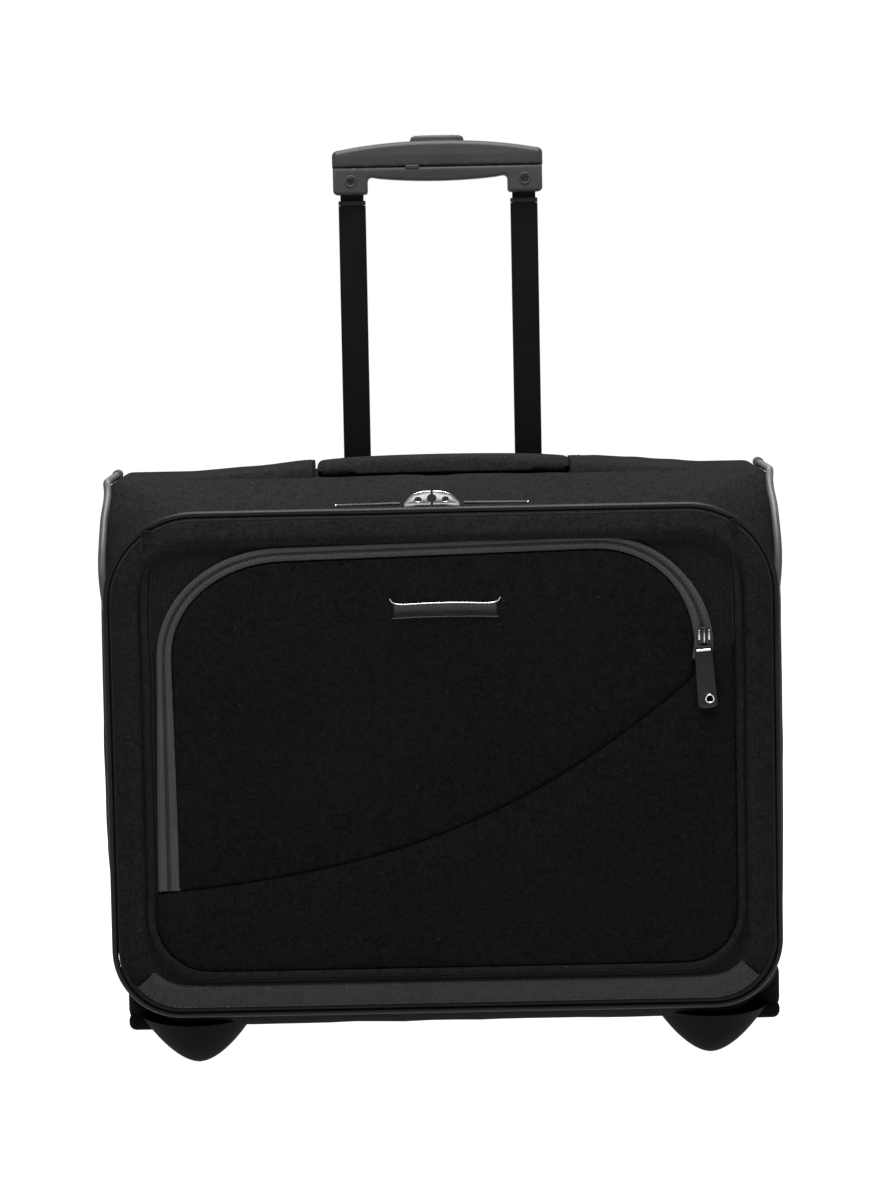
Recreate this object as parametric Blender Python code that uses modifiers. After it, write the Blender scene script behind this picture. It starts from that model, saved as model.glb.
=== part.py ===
"""Soft-sided two-wheel rolling flight case: fabric body, zip-round front lid, telescopic pull handle.

Frame: metres, +Z up, the front faces -Y, the origin is on the floor under the middle of the case.
"""

import math

import bmesh
import bpy
from mathutils import Vector

GAP = 0.0003  # between neighbours that touch

# Body: a band of fabric over boards, closed by a rear panel and edged with piping.
BODY_HALF_W = 0.2225
BODY_BOTTOM, BODY_TOP = 0.0362, 0.4000
BODY_WALL = 0.0034
BODY_CORNER_TOP, BODY_CORNER = 0.010, 0.018
BODY_FRONT, BODY_BACK = -0.0300, 0.0910
SIDE_TOP, SIDE_BOTTOM = 0.3650, 0.0800
REAR_PANEL_T = 0.0045
BODY_PIPING_R = 0.0024
PIPING_FRONT = 0.20  # share of the front gusset's depth at which the side piping climbs

# Lid: the whole front, hinged along its bottom edge.
LID_HALF_W = 0.2165
LID_BOTTOM, LID_TOP = 0.0480, 0.3790
LID_CORNER_TOP, LID_CORNER_BOTTOM = 0.057, 0.042
LID_FACE, LID_T = -0.1000, 0.0065
LID_PIPING_R = 0.0021
TRIM_T = 0.0036  # pieces sewn on the lid's face

# Zip between the lid and the body.
ZIP_TAPE_W, ZIP_TAPE_T = 0.0030, 0.0016
GUSSET_T = 0.0015
ZIP_END = 0.080  # height of the zip's lower ends

# Front pocket, as seen from the front: a zip arch over a panel that ends in a sweeping seam.
ARCH_LEFT, ARCH_LOW = -0.1815, 0.1350
ARCH_LEFT_CENTRE = (-0.1040, 0.2860)
ARCH_TOP_LEFT = 0.3540
ARCH_RIGHT_CENTRE, ARCH_RIGHT_R = (0.0990, 0.2870), 0.0713
POCKET_ZIP_HALF = 0.0055
SWEEP = ((-0.1895, 0.1293), (-0.0310, 0.1420), (0.0700, 0.1820), (0.1895, 0.2913))
WELT_X, WELT_TOP, WELT_BOTTOM, WELT_CORNER, WELT_R = 0.1935, 0.3640, 0.0725, 0.038, 0.0022

# Pull handle: two tubes that telescope in two stages, with a grip across them.
TUBE_X, TUBE_Y = 0.0605, 0.0835
OUTER_TUBE = (0.0220, 0.0150, 0.0012)  # width, depth, wall
MIDDLE_TUBE = (0.0190, 0.0120, 0.0010)
INNER_TUBE = (0.0163, 0.0094, 0.0010)
OUTER_TUBE_Z = (0.0480, 0.3930)
MIDDLE_TUBE_Z = (0.2350, 0.5845)
INNER_TUBE_Z = (0.2470, 0.6030)
STAGE_CAP_T = 0.0030
GRIP_HALF_W, GRIP_HALF_D = 0.0738, 0.0130
GRIP_BOTTOM, GRIP_UNDERSIDE, GRIP_SEAM = 0.5920, 0.6020, 0.6110
GRIP_END_TOP, GRIP_TOP = 0.6225, 0.6290
GRIP_SCREW_X, GRIP_SCREW_Z = 0.0610, 0.6015
GRIP_BLOCK_W = 0.0245
BUTTON_HALF_W, BUTTON_HALF_D, BUTTON_TOP = 0.0188, 0.0080, 0.6325
ROD_Y, ROD_R, ROD_LOW, ROD_HIGH = TUBE_Y - 0.0012, 0.0012, 0.2620, 0.6072

# Carry handle on the top.
HANDLE_Y, HANDLE_HALF_D = 0.0280, 0.0180
HANDLE_HALF_L, HANDLE_BOTTOM, HANDLE_TOP = 0.0840, 0.3945, 0.4115
ANCHOR_IN, ANCHOR_OUT, ANCHOR_TOP, ANCHOR_HEM = 0.0880, 0.1870, 0.4088, 0.4016
ANCHOR_FRONT, ANCHOR_BACK = -0.0240, 0.0640
SAG_DEPTH, SAG_HALF_L, SAG_HALF_D = 0.0120, 0.0960, 0.0400

# Wheels and their housings at the rear bottom corners.
WHEEL_X, WHEEL_Y, WHEEL_R, WHEEL_W = 0.1755, 0.0792, 0.0300, 0.0220
HUB_R, BUSH_R, AXLE_R = 0.0220, 0.0060, 0.0030
WELL_R, WELL_HALF_W = 0.0335, 0.0145
HOUSING_X = (0.1500, 0.2235)
HOUSING_BACK, HOUSING_FRONT, HOUSING_WHEEL_FRONT = 0.1030, -0.0450, 0.0360
HOUSING_LOW, HOUSING_TOP, FLANGE_LOW, FLANGE_TOP = 0.0200, 0.0700, 0.0240, 0.0357
SKID_RADII, SKID_Y = (0.0420, 0.0560, 0.0352), -0.0330

# Inside.
BOARD_Y, BOARD_T, BOARD_HALF_W = 0.0695, 0.0020, 0.2050
DIVIDER_Y, DIVIDER_T, DIVIDER_HALF_W, DIVIDER_TOP = 0.0420, 0.0060, 0.1950, 0.3000

BLACK_FABRIC = ("black_fabric", (0.020, 0.019, 0.019), 0.90, 0.0)
GREY_FABRIC = ("grey_fabric", (0.055, 0.054, 0.056), 0.85, 0.0)
LINING = ("lining", (0.060, 0.060, 0.065), 0.80, 0.0)
GREY_PIPING = ("grey_piping", (0.120, 0.120, 0.125), 0.45, 0.0)
BLACK_PIPING = ("black_piping", (0.010, 0.010, 0.011), 0.30, 0.0)
ZIP_BLACK = ("zip_black", (0.015, 0.015, 0.016), 0.70, 0.0)
BLACK_PLASTIC = ("black_plastic", (0.018, 0.018, 0.019), 0.55, 0.0)
SATIN_PLASTIC = ("satin_plastic", (0.040, 0.040, 0.042), 0.38, 0.0)
TUBE_METAL = ("tube_metal", (0.020, 0.020, 0.021), 0.35, 0.6)
BRIGHT_METAL = ("bright_metal", (0.550, 0.550, 0.570), 0.25, 1.0)
STEEL = ("steel", (0.420, 0.420, 0.430), 0.35, 1.0)
TYRE_RUBBER = ("tyre_rubber", (0.012, 0.012, 0.012), 0.75, 0.0)
BOARD = ("board", (0.030, 0.030, 0.032), 0.70, 0.0)


def finish_of(spec):
    """The Principled material of that name, made once."""
    name, colour, roughness, metallic = spec
    found = bpy.data.materials.get(name)
    if found:
        return found
    made = bpy.data.materials.new(name)
    made.use_nodes = True
    shader = made.node_tree.nodes["Principled BSDF"]
    shader.inputs["Base Color"].default_value = (*colour, 1.0)
    shader.inputs["Roughness"].default_value = roughness
    shader.inputs["Metallic"].default_value = metallic
    return made


def collection(name):
    """A collection linked to the scene."""
    made = bpy.data.collections.new(name)
    bpy.context.scene.collection.children.link(made)
    return made


def place(name, data, spec=None):
    """An object in the case's collection, or in the cutters' one where it has no finish."""
    made = bpy.data.objects.new(name, data)
    if spec:
        PARTS.objects.link(made)
        data.materials.append(finish_of(spec))
    else:
        CUTTERS.objects.link(made)
        made.hide_render = True
        made.display_type = "WIRE"
    return made


def mesh_from(name, bm):
    """A mesh datablock with outward normals, from a bmesh."""
    bmesh.ops.recalc_face_normals(bm, faces=bm.faces)
    data = bpy.data.meshes.new(name)
    bm.to_mesh(data)
    bm.free()
    return data


def block(name, low, high, spec=None, bevel=0.0, segments=2):
    """A box between two corners, with rounded edges where bevel is given."""
    bm = bmesh.new()
    bmesh.ops.create_cube(bm, size=1.0)
    middle = (Vector(low) + Vector(high)) / 2
    bmesh.ops.scale(bm, vec=Vector(high) - Vector(low), verts=bm.verts)
    made = place(name, mesh_from(name, bm), spec)
    made.location = middle
    if bevel:
        rounding = made.modifiers.new("edges", "BEVEL")
        rounding.width = bevel
        rounding.segments = segments
    return made


def rod(name, start, end, radius, spec=None, sides=20):
    """A solid round bar between two points."""
    start, end = Vector(start), Vector(end)
    bm = bmesh.new()
    length = (end - start).length
    bmesh.ops.create_cone(
        bm, cap_ends=True, segments=sides, radius1=radius, radius2=radius, depth=length
    )
    made = place(name, mesh_from(name, bm), spec)
    made.location = (start + end) / 2
    made.rotation_euler = Vector((0, 0, 1)).rotation_difference(end - start).to_euler()
    return made


def plate(name, outlines, front, back, spec=None):
    """A flat (x, z) outline standing across the case between two depths; later outlines are holes."""
    data = bpy.data.curves.new(name, "CURVE")
    data.dimensions = "2D"
    data.fill_mode = "BOTH"
    data.resolution_u = 1
    data.render_resolution_u = 0
    data.extrude = (back - front) / 2
    for points in outlines:
        spline = data.splines.new("POLY")
        spline.points.add(len(points) - 1)
        for point, (x, z) in zip(spline.points, points):
            point.co = (x, z, 0, 1)
        spline.use_cyclic_u = True
    made = place(name, data, spec)
    made.location.y = (front + back) / 2
    made.rotation_euler.x = math.radians(90)
    return made


def cord(name, points, radius, spec, cyclic=False, resolution=1):
    """A round strand along points in space."""
    data = bpy.data.curves.new(name, "CURVE")
    data.dimensions = "3D"
    data.bevel_depth = radius
    data.bevel_resolution = resolution
    data.use_fill_caps = not cyclic
    data.render_resolution_u = 0
    spline = data.splines.new("POLY")
    spline.points.add(len(points) - 1)
    for point, place_at in zip(spline.points, points):
        point.co = (*place_at, 1)
    spline.use_cyclic_u = cyclic
    return place(name, data, spec)


def box_tube(name, x, y, section, heights, spec):
    """An upright rectangular tube with rounded corners; section is its width, depth and wall."""
    width, depth, wall = section
    data = bpy.data.curves.new(name, "CURVE")
    data.dimensions = "2D"
    data.fill_mode = "BOTH"
    data.render_resolution_u = 0
    data.extrude = (heights[1] - heights[0]) / 2
    for inset, corner in ((0.0, 0.0020), (wall, 0.0012)):
        half_w, half_d = width / 2 - inset, depth / 2 - inset
        points = rounded(half_w, -half_d, half_d, corner, corner, 3)
        spline = data.splines.new("POLY")
        spline.points.add(len(points) - 1)
        for point, (across, along) in zip(spline.points, points):
            point.co = (across, along, 0, 1)
        spline.use_cyclic_u = True
    made = place(name, data, spec)
    made.location = (x, y, sum(heights) / 2)
    return made


def turned(name, profile, centre, spec, steps=28):
    """A profile of (radius, offset along X) turned about the X axis through centre."""
    bm = bmesh.new()
    points = [bm.verts.new((along, 0, radius)) for radius, along in profile]
    for i, point in enumerate(points):
        bm.edges.new((point, points[(i + 1) % len(points)]))
    data = bpy.data.meshes.new(name)
    bm.to_mesh(data)
    bm.free()
    made = place(name, data, spec)
    made.location = centre
    screw = made.modifiers.new("turn", "SCREW")
    screw.axis = "X"
    screw.steps = screw.render_steps = steps
    screw.use_normal_flip = True
    screw.use_merge_vertices = True
    screw.merge_threshold = 0.0001
    return made


def to_mesh(made):
    """The evaluated object as a mesh object in the same place, with its doubles merged."""
    depsgraph = bpy.context.evaluated_depsgraph_get()
    data = bpy.data.meshes.new_from_object(made.evaluated_get(depsgraph))
    bm = bmesh.new()
    bm.from_mesh(data)
    bmesh.ops.remove_doubles(bm, verts=bm.verts, dist=0.00001)
    bmesh.ops.recalc_face_normals(bm, faces=bm.faces)
    bm.to_mesh(data)
    bm.free()
    name, matrix, users = made.name, made.matrix_world.copy(), made.users_collection
    bpy.data.objects.remove(made)
    fresh = bpy.data.objects.new(name, data)
    for owner in users:
        owner.objects.link(fresh)
    fresh.matrix_world = matrix
    if CUTTERS in users:
        fresh.hide_render = True
        fresh.display_type = "WIRE"
    return fresh


def boolean(made, tool, operation="DIFFERENCE"):
    """Cuts, joins or intersects a mesh object with a cutter."""
    step = made.modifiers.new(tool.name, "BOOLEAN")
    step.operation = operation
    step.object = tool


def arc(centre, radii, start, end, steps):
    """Points on an ellipse's arc, in degrees from +x towards +z."""
    found = []
    for i in range(steps + 1):
        angle = math.radians(start + (end - start) * i / steps)
        found.append((centre[0] + radii[0] * math.cos(angle), centre[1] + radii[1] * math.sin(angle)))
    return found


def rounded(half_w, low, high, top_corner, bottom_corner, steps=7):
    """A closed rectangle with rounded corners, from the lower right corner round by the top."""
    corners = (
        ((half_w - bottom_corner, low + bottom_corner), bottom_corner, 270),
        ((half_w - top_corner, high - top_corner), top_corner, 0),
        ((-half_w + top_corner, high - top_corner), top_corner, 90),
        ((-half_w + bottom_corner, low + bottom_corner), bottom_corner, 180),
    )
    points = []
    for centre, radius, start in corners:
        points += arc(centre, (radius, radius), start, start + 90, steps)
    return points


def arch(half_w, low, high, corner, steps=7):
    """An open path up one side, over the rounded top and down the other, right to left."""
    over = arc((half_w - corner, high - corner), (corner, corner), 0, 90, steps)
    over += arc((-half_w + corner, high - corner), (corner, corner), 90, 180, steps)
    return [(half_w, low), *over, (-half_w, low)]


def strip(name, rings, depths, thickness, spec, closed=False):
    """A fabric wall through rings of (x, z) points at increasing depths, thickened inwards."""
    bm = bmesh.new()
    rows = [[bm.verts.new((x, depth, z)) for x, z in ring] for ring, depth in zip(rings, depths)]
    count = len(rings[0])
    for near, far in zip(rows, rows[1:]):
        for i in range(count if closed else count - 1):
            j = (i + 1) % count
            bm.faces.new((near[i], near[j], far[j], far[i]))
    middle = Vector((0, 0, (BODY_BOTTOM + BODY_TOP) / 2))
    bm.normal_update()
    outward = sum(f.normal.dot(f.calc_center_median() - middle) * f.calc_area() for f in bm.faces)
    if outward < 0:
        bmesh.ops.reverse_faces(bm, faces=bm.faces)
    data = bpy.data.meshes.new(name)
    bm.to_mesh(data)
    bm.free()
    made = place(name, data, spec)
    wall = made.modifiers.new("wall", "SOLIDIFY")
    wall.thickness = thickness
    wall.offset = -1
    wall.use_even_offset = True
    return made


def ribbon(path, half_widths):
    """The closed outline of a flat ribbon along an open path of (x, z) points."""
    left, right = [], []
    for i, (x, z) in enumerate(path):
        before, after = path[max(i - 1, 0)], path[min(i + 1, len(path) - 1)]
        along = Vector((after[0] - before[0], after[1] - before[1])).normalized()
        half = half_widths[i] if isinstance(half_widths, list) else half_widths
        left.append((x - along.y * half, z + along.x * half))
        right.append((x + along.y * half, z - along.x * half))
    return left + right[::-1]


def sweep_curve(lift=0.0, steps=14, start=0.0, end=1.0):
    """Points of the pocket's sweeping seam, a cubic curve from the lower left to the upper right."""
    found = []
    for i in range(steps + 1):
        t = start + (end - start) * i / steps
        weights = ((1 - t) ** 3, 3 * t * (1 - t) ** 2, 3 * t * t * (1 - t), t**3)
        x = sum(w * p[0] for w, p in zip(weights, SWEEP))
        z = sum(w * p[1] for w, p in zip(weights, SWEEP))
        found.append((x, z + lift))
    return found


def pocket_zip_path():
    """The centre of the pocket's zip, from the lower left end over the arch to the right end."""
    left_radii = (ARCH_LEFT_CENTRE[0] - ARCH_LEFT, ARCH_TOP_LEFT - ARCH_LEFT_CENTRE[1])
    right_radii = (ARCH_RIGHT_R, ARCH_RIGHT_R)
    path = [(ARCH_LEFT, ARCH_LOW)]
    path += arc(ARCH_LEFT_CENTRE, left_radii, 180, 90, 8)
    path += arc(ARCH_RIGHT_CENTRE, right_radii, 90, 0, 10)
    path.append((ARCH_RIGHT_CENTRE[0] + ARCH_RIGHT_R - 0.0025, ARCH_RIGHT_CENTRE[1] - 0.0090))
    return path


def sagged(x, y):
    """How far the top fabric hangs below its corners, under the carry handle."""
    across = max(0.0, 1 - (x / SAG_HALF_L) ** 2)
    along = max(0.0, 1 - ((y - HANDLE_Y) / SAG_HALF_D) ** 2)
    return SAG_DEPTH * min(1.0, 1.6 * across) * min(1.0, 1.8 * along)


def joint_frame(name, position, pieces):
    """An empty on a joint's axis, with the pieces that move about it."""
    empty = bpy.data.objects.new(name, None)
    PARTS.objects.link(empty)
    empty.location = position
    bpy.context.view_layer.update()
    for piece in pieces:
        piece.parent = empty
        piece.matrix_parent_inverse = empty.matrix_world.inverted()
    return empty


def make_body():
    """The panels round the body, its base tray and the front gusset; returns the gusset's front depth."""
    half = BODY_HALF_W
    flat = 24
    radii = (BODY_CORNER_TOP, BODY_CORNER_TOP)
    over = arc((half - BODY_CORNER_TOP, BODY_TOP - BODY_CORNER_TOP), radii, 0, 90, 5)
    span = 2 * (half - BODY_CORNER_TOP)
    across = [(half - BODY_CORNER_TOP - span * i / flat, BODY_TOP) for i in range(1, flat)]
    profile = [(half, SIDE_TOP), *over, *across, *[(-x, z) for x, z in reversed(over)], (-half, SIDE_TOP)]
    depths = [BODY_FRONT, -0.012, 0.004, 0.016, 0.028, 0.040, 0.052, 0.066, BODY_BACK]
    rings = [[(x, z - sagged(x, y)) for x, z in profile] for y in depths]
    top = strip("top_panel", rings, depths, BODY_WALL, BLACK_FABRIC)
    slot = block("bezel_cutter", (-0.0830, 0.0727, 0.38), (0.0830, BODY_BACK + 0.01, 0.41))
    boolean(top, slot)

    for side, name in ((-1, "left"), (1, "right")):
        low = (half - BODY_WALL, BODY_FRONT, SIDE_BOTTOM)
        high = (half, BODY_BACK, SIDE_TOP - GAP)
        block(f"side_panel_{name}", *mirrored(low, high, side), BLACK_FABRIC)

    corner = arc((half - BODY_CORNER, BODY_BOTTOM + BODY_CORNER), (BODY_CORNER, BODY_CORNER), 0, -90, 5)
    upturned = [(half, SIDE_BOTTOM - GAP), *corner]
    upturned += [(-x, z) for x, z in reversed(upturned)]
    tray = strip("base_tray", [upturned, upturned], [BODY_BACK, BODY_FRONT], BODY_WALL, BLACK_PLASTIC)
    outline = rounded(half - 0.001, BODY_BOTTOM + 0.002, BODY_TOP - 0.0015, BODY_CORNER_TOP, BODY_CORNER, 5)
    rear_front = BODY_BACK + 2 * GAP
    rear = to_mesh(plate("rear_panel", [outline], rear_front, rear_front + REAR_PANEL_T, BLACK_FABRIC))
    for side, name in ((-1, "left"), (1, "right")):
        low = (HOUSING_X[0] - GAP, HOUSING_WHEEL_FRONT - GAP, 0.01)
        high = (0.24, 0.12, HOUSING_TOP + GAP)
        notch = block(f"housing_notch_{name}", *mirrored(low, high, side))
        boolean(tray, notch)
        boolean(rear, notch)

    gusset_front = LID_FACE + LID_T + 2 * (ZIP_TAPE_W + GAP) + GAP
    gusset_back = BODY_FRONT - 3 * GAP
    rings = [ring_outline(lid_edge()), ring_outline(body_edge())]
    strip("zip_gusset", rings, [gusset_front, gusset_back], GUSSET_T, BLACK_FABRIC, closed=True)
    for side, name in ((-1, "left"), (1, "right")):
        path = side_piping_path(gusset_front, gusset_back)
        cord(f"side_piping_{name}", [(side * x, y, z) for x, y, z in path], BODY_PIPING_R, GREY_PIPING)
    return gusset_front


def lid_edge():
    """Half width, bottom, top and corner radii of the gusset's front edge."""
    return LID_HALF_W - 0.0005, LID_BOTTOM + 0.0005, LID_TOP - 0.0005, LID_CORNER_TOP, LID_CORNER_BOTTOM


def body_edge():
    """The same of its back edge, at the body."""
    return BODY_HALF_W, BODY_BOTTOM, BODY_TOP, BODY_CORNER_TOP, BODY_CORNER


def ring_outline(edge):
    """The outline of one edge of the gusset."""
    return rounded(*edge)


def side_piping_path(front, back):
    """The cord round a side: up its front edge, back along its top and down its rear edge to the wheel."""
    stand = 1.15 * (BODY_PIPING_R + GAP)
    path = []
    steps = 8
    for i in range(steps + 1):
        share = i / steps
        depth = PIPING_FRONT + (1 - PIPING_FRONT) * share**1.5
        edge = [a + (b - a) * depth for a, b in zip(lid_edge(), body_edge())]
        path.append(beside_corner(edge, 45 * share, stand, front + (back - front) * depth))
    path.insert(0, (path[0][0], path[0][1], ZIP_END))
    for i in range(5):
        path.append(beside_corner(body_edge(), 45 * (1 - i / 4), stand, BODY_BACK - 0.012 + 0.0033 * i))
    path.append((path[-1][0], path[-1][1], HOUSING_TOP + 0.0035))
    return path


def beside_corner(edge, angle, stand, y):
    """A point that stands off a section's upper corner, at an angle up from its side."""
    half, _, top, corner, _ = edge
    reach = corner + stand
    x = half - corner + reach * math.cos(math.radians(angle))
    return x, y, top - corner + reach * math.sin(math.radians(angle))


def mirrored(low, high, side):
    """Two corners, swapped and negated in X on the left side."""
    if side > 0:
        return low, high
    return (-high[0], *low[1:]), (-low[0], *high[1:])


def make_main_zip(gusset_front):
    """The two tapes round the lid, the body's and the lid's own."""
    path = arch(LID_HALF_W - 0.0006, ZIP_END, LID_TOP - 0.0006, LID_CORNER_TOP)
    body_back = gusset_front - GAP
    body_front = body_back - ZIP_TAPE_W
    strip("main_zip_tape", [path, path], [body_front, body_back], ZIP_TAPE_T, ZIP_BLACK)
    lid_back = body_front - GAP
    return strip("lid_zip_tape", [path, path], [lid_back - ZIP_TAPE_W, lid_back], ZIP_TAPE_T, ZIP_BLACK)


def make_sliders():
    """The pair of lockable sliders at the top of the main zip, and their pull tags."""
    middle, y, base = -0.0085, -0.0905, LID_TOP + 0.0012
    for side, name in ((-1, "left"), (1, "right")):
        inner, outer = middle + side * 0.0006, middle + side * 0.0185
        body = [(inner, base + 0.0035), (outer - side * 0.008, base + 0.0035), (outer - side * 0.008, base)]
        body += [(outer, base), (outer, base + 0.0065), (outer - side * 0.004, base + 0.0110)]
        body += [(inner + side * 0.006, base + 0.0150), (inner, base + 0.0155)]
        eye = arc((middle + side * 0.0085, base + 0.0085), (0.0022, 0.0022), 0, 315, 7)
        slider = plate(f"zip_slider_{name}", [body, eye], y - 0.0022, y + 0.0022, BRIGHT_METAL)
        pivot = (outer + side * 0.0010, y, base + 0.0050)
        root, tip = pivot[0] + side * 0.0004, pivot[0] + side * 0.0450
        low = (min(root, tip), y - 0.0050, pivot[2] - 0.0010)
        high = (max(root, tip), y + 0.0050, pivot[2] + 0.0010)
        tag = block(f"zip_tag_{name}", low, high, BLACK_PLASTIC, bevel=0.0009)
        joint_frame(f"slider_{name}_frame", (outer, y, base), [slider])
        joint_frame(f"tag_{name}_frame", pivot, [tag])


def make_lid(tape):
    """The lid's panel and all that is sewn to it."""
    outline = rounded(LID_HALF_W, LID_BOTTOM, LID_TOP, LID_CORNER_TOP, LID_CORNER_BOTTOM)
    panel = plate("lid_panel", [outline], LID_FACE, LID_FACE + LID_T, BLACK_FABRIC)
    out = LID_PIPING_R + GAP
    hoop = rounded(
        LID_HALF_W + out, LID_BOTTOM - out, LID_TOP + out, LID_CORNER_TOP + out, LID_CORNER_BOTTOM + out
    )
    y = LID_FACE + 0.0015
    piping = cord("lid_piping", [(x, y, z) for x, z in hoop], LID_PIPING_R, BLACK_PIPING, cyclic=True)

    turn = arc((WELT_X - WELT_CORNER, WELT_BOTTOM + WELT_CORNER), (WELT_CORNER, WELT_CORNER), 0, -90, 6)
    path = [(WELT_X - 0.004, WELT_TOP), (WELT_X, WELT_TOP - 0.045), *turn]
    path += [(-x, z) for x, z in reversed(path)]
    y = LID_FACE - WELT_R - GAP
    welt = cord("lid_welt", [(x, y, z) for x, z in path], WELT_R, BLACK_FABRIC)

    front = LID_FACE - GAP - TRIM_T
    back = LID_FACE - GAP
    corner = 0.0340
    turn = arc((0.2065 - corner, 0.0580 + corner), (corner, corner), -40, -90, 5)
    path = turn + [(-x, z) for x, z in reversed(turn)]
    accent = plate("accent_band", [ribbon(path, 0.0078)], front + 0.0016, back, GREY_FABRIC)

    path = pocket_zip_path()
    widths = [0.0075, *[POCKET_ZIP_HALF] * (len(path) - 1)]
    zip_band = plate("pocket_zip_tape", [ribbon(path, widths)], front + 0.0006, back, GREY_FABRIC)

    inside = ribbon(path, [width + GAP for width in widths])[len(path) :][::-1]
    seam = sweep_curve(0.0006, 14, 0.06, 0.925)
    upper = [p for p in inside if p[1] > 0.1385]
    pocket = plate("pocket_panel", [upper + seam[::-1]], front, back, BLACK_FABRIC)

    edge = WELT_X - WELT_R - GAP
    lower_corner = WELT_CORNER - WELT_R - GAP
    low = WELT_BOTTOM + WELT_R + GAP
    right = arc((edge - lower_corner, low + lower_corner), (lower_corner, lower_corner), 0, -90, 6)
    seam = sweep_curve(-0.0006, 16)
    seam = [(min(max(x, -edge), edge), z) for x, z in seam]
    outline = seam + right + [(-x, z) for x, z in reversed(right)]
    skirt = plate("pocket_lower_panel", [outline], front, back, BLACK_FABRIC)

    low, high = (-0.1600, LID_FACE + LID_T + GAP, 0.1150), (0.1600, LID_FACE + LID_T + 0.0030, 0.3450)
    bag = block("pocket_bag", low, high, LINING, bevel=0.0010, segments=1)
    badge_front = front - GAP - 0.0028
    badge = make_badge(badge_front, front - GAP)
    pieces = [panel, piping, welt, accent, zip_band, pocket, skirt, bag, badge, tape]
    joint_frame("lid_frame", (0, LID_FACE + LID_T, LID_BOTTOM), pieces)


def make_badge(front, back):
    """A long plate, pinched in the middle and flared at its ends."""
    middle, half_l = (-0.0010, 0.3156), 0.0362
    top, bottom = [], []
    for i in range(9):
        t = -1 + i / 4
        half = 0.0046 + 0.0026 * t * t
        top.append((middle[0] + half_l * t, middle[1] + half))
        bottom.append((middle[0] + half_l * t, middle[1] - half))
    return plate("badge_plate", [top + bottom[::-1]], front, back, BRIGHT_METAL)


def make_pocket_slider():
    """The pocket's slider at the right end of its arch, and the puller that hangs from it."""
    angle = math.radians(6)
    reach = ARCH_RIGHT_R
    x = ARCH_RIGHT_CENTRE[0] + reach * math.cos(angle)
    z = ARCH_RIGHT_CENTRE[1] + reach * math.sin(angle)
    back = LID_FACE - 2 * GAP - TRIM_T
    front = back - 0.0034
    body = [(x - 0.0035, z + 0.0060), (x + 0.0035, z + 0.0060)]
    body += [(x + 0.0042, z - 0.0050), (x - 0.0042, z - 0.0050)]
    slider = plate("pocket_slider", [body], front, back, BRIGHT_METAL)
    top = (x - 0.0010, z - 0.0060)
    lean = math.radians(4)
    along = Vector((math.sin(lean), -math.cos(lean)))
    across = Vector((along.y, -along.x))
    outline = []
    for distance, half in ((0.0004, 0.0056), (0.0060, 0.0060), (0.0370, 0.0064)):
        outline.append((distance, half))
    left = [Vector(top) + along * d - across * h for d, h in outline]
    right = [Vector(top) + along * d + across * h for d, h in outline]
    end = [Vector(top) + along * (0.0375 + 0.0040 * math.sin(math.radians(a))) - across * 0.0064
           * math.cos(math.radians(a)) for a in (30, 60, 90, 120, 150)]
    shape = [tuple(p) for p in left + end + right[::-1]]
    eye_at = Vector(top) + along * 0.0355
    eye = arc(eye_at, (0.0024, 0.0024), 0, 315, 7)
    puller = plate("pocket_puller", [shape, eye], front - 0.0016, front + 0.0004, BLACK_PLASTIC)
    centre = (ARCH_RIGHT_CENTRE[0], LID_FACE, ARCH_RIGHT_CENTRE[1])
    joint_frame("pocket_slider_frame", centre, [slider])
    joint_frame("pocket_puller_frame", (top[0], front - 0.0006, top[1]), [puller])


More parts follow.
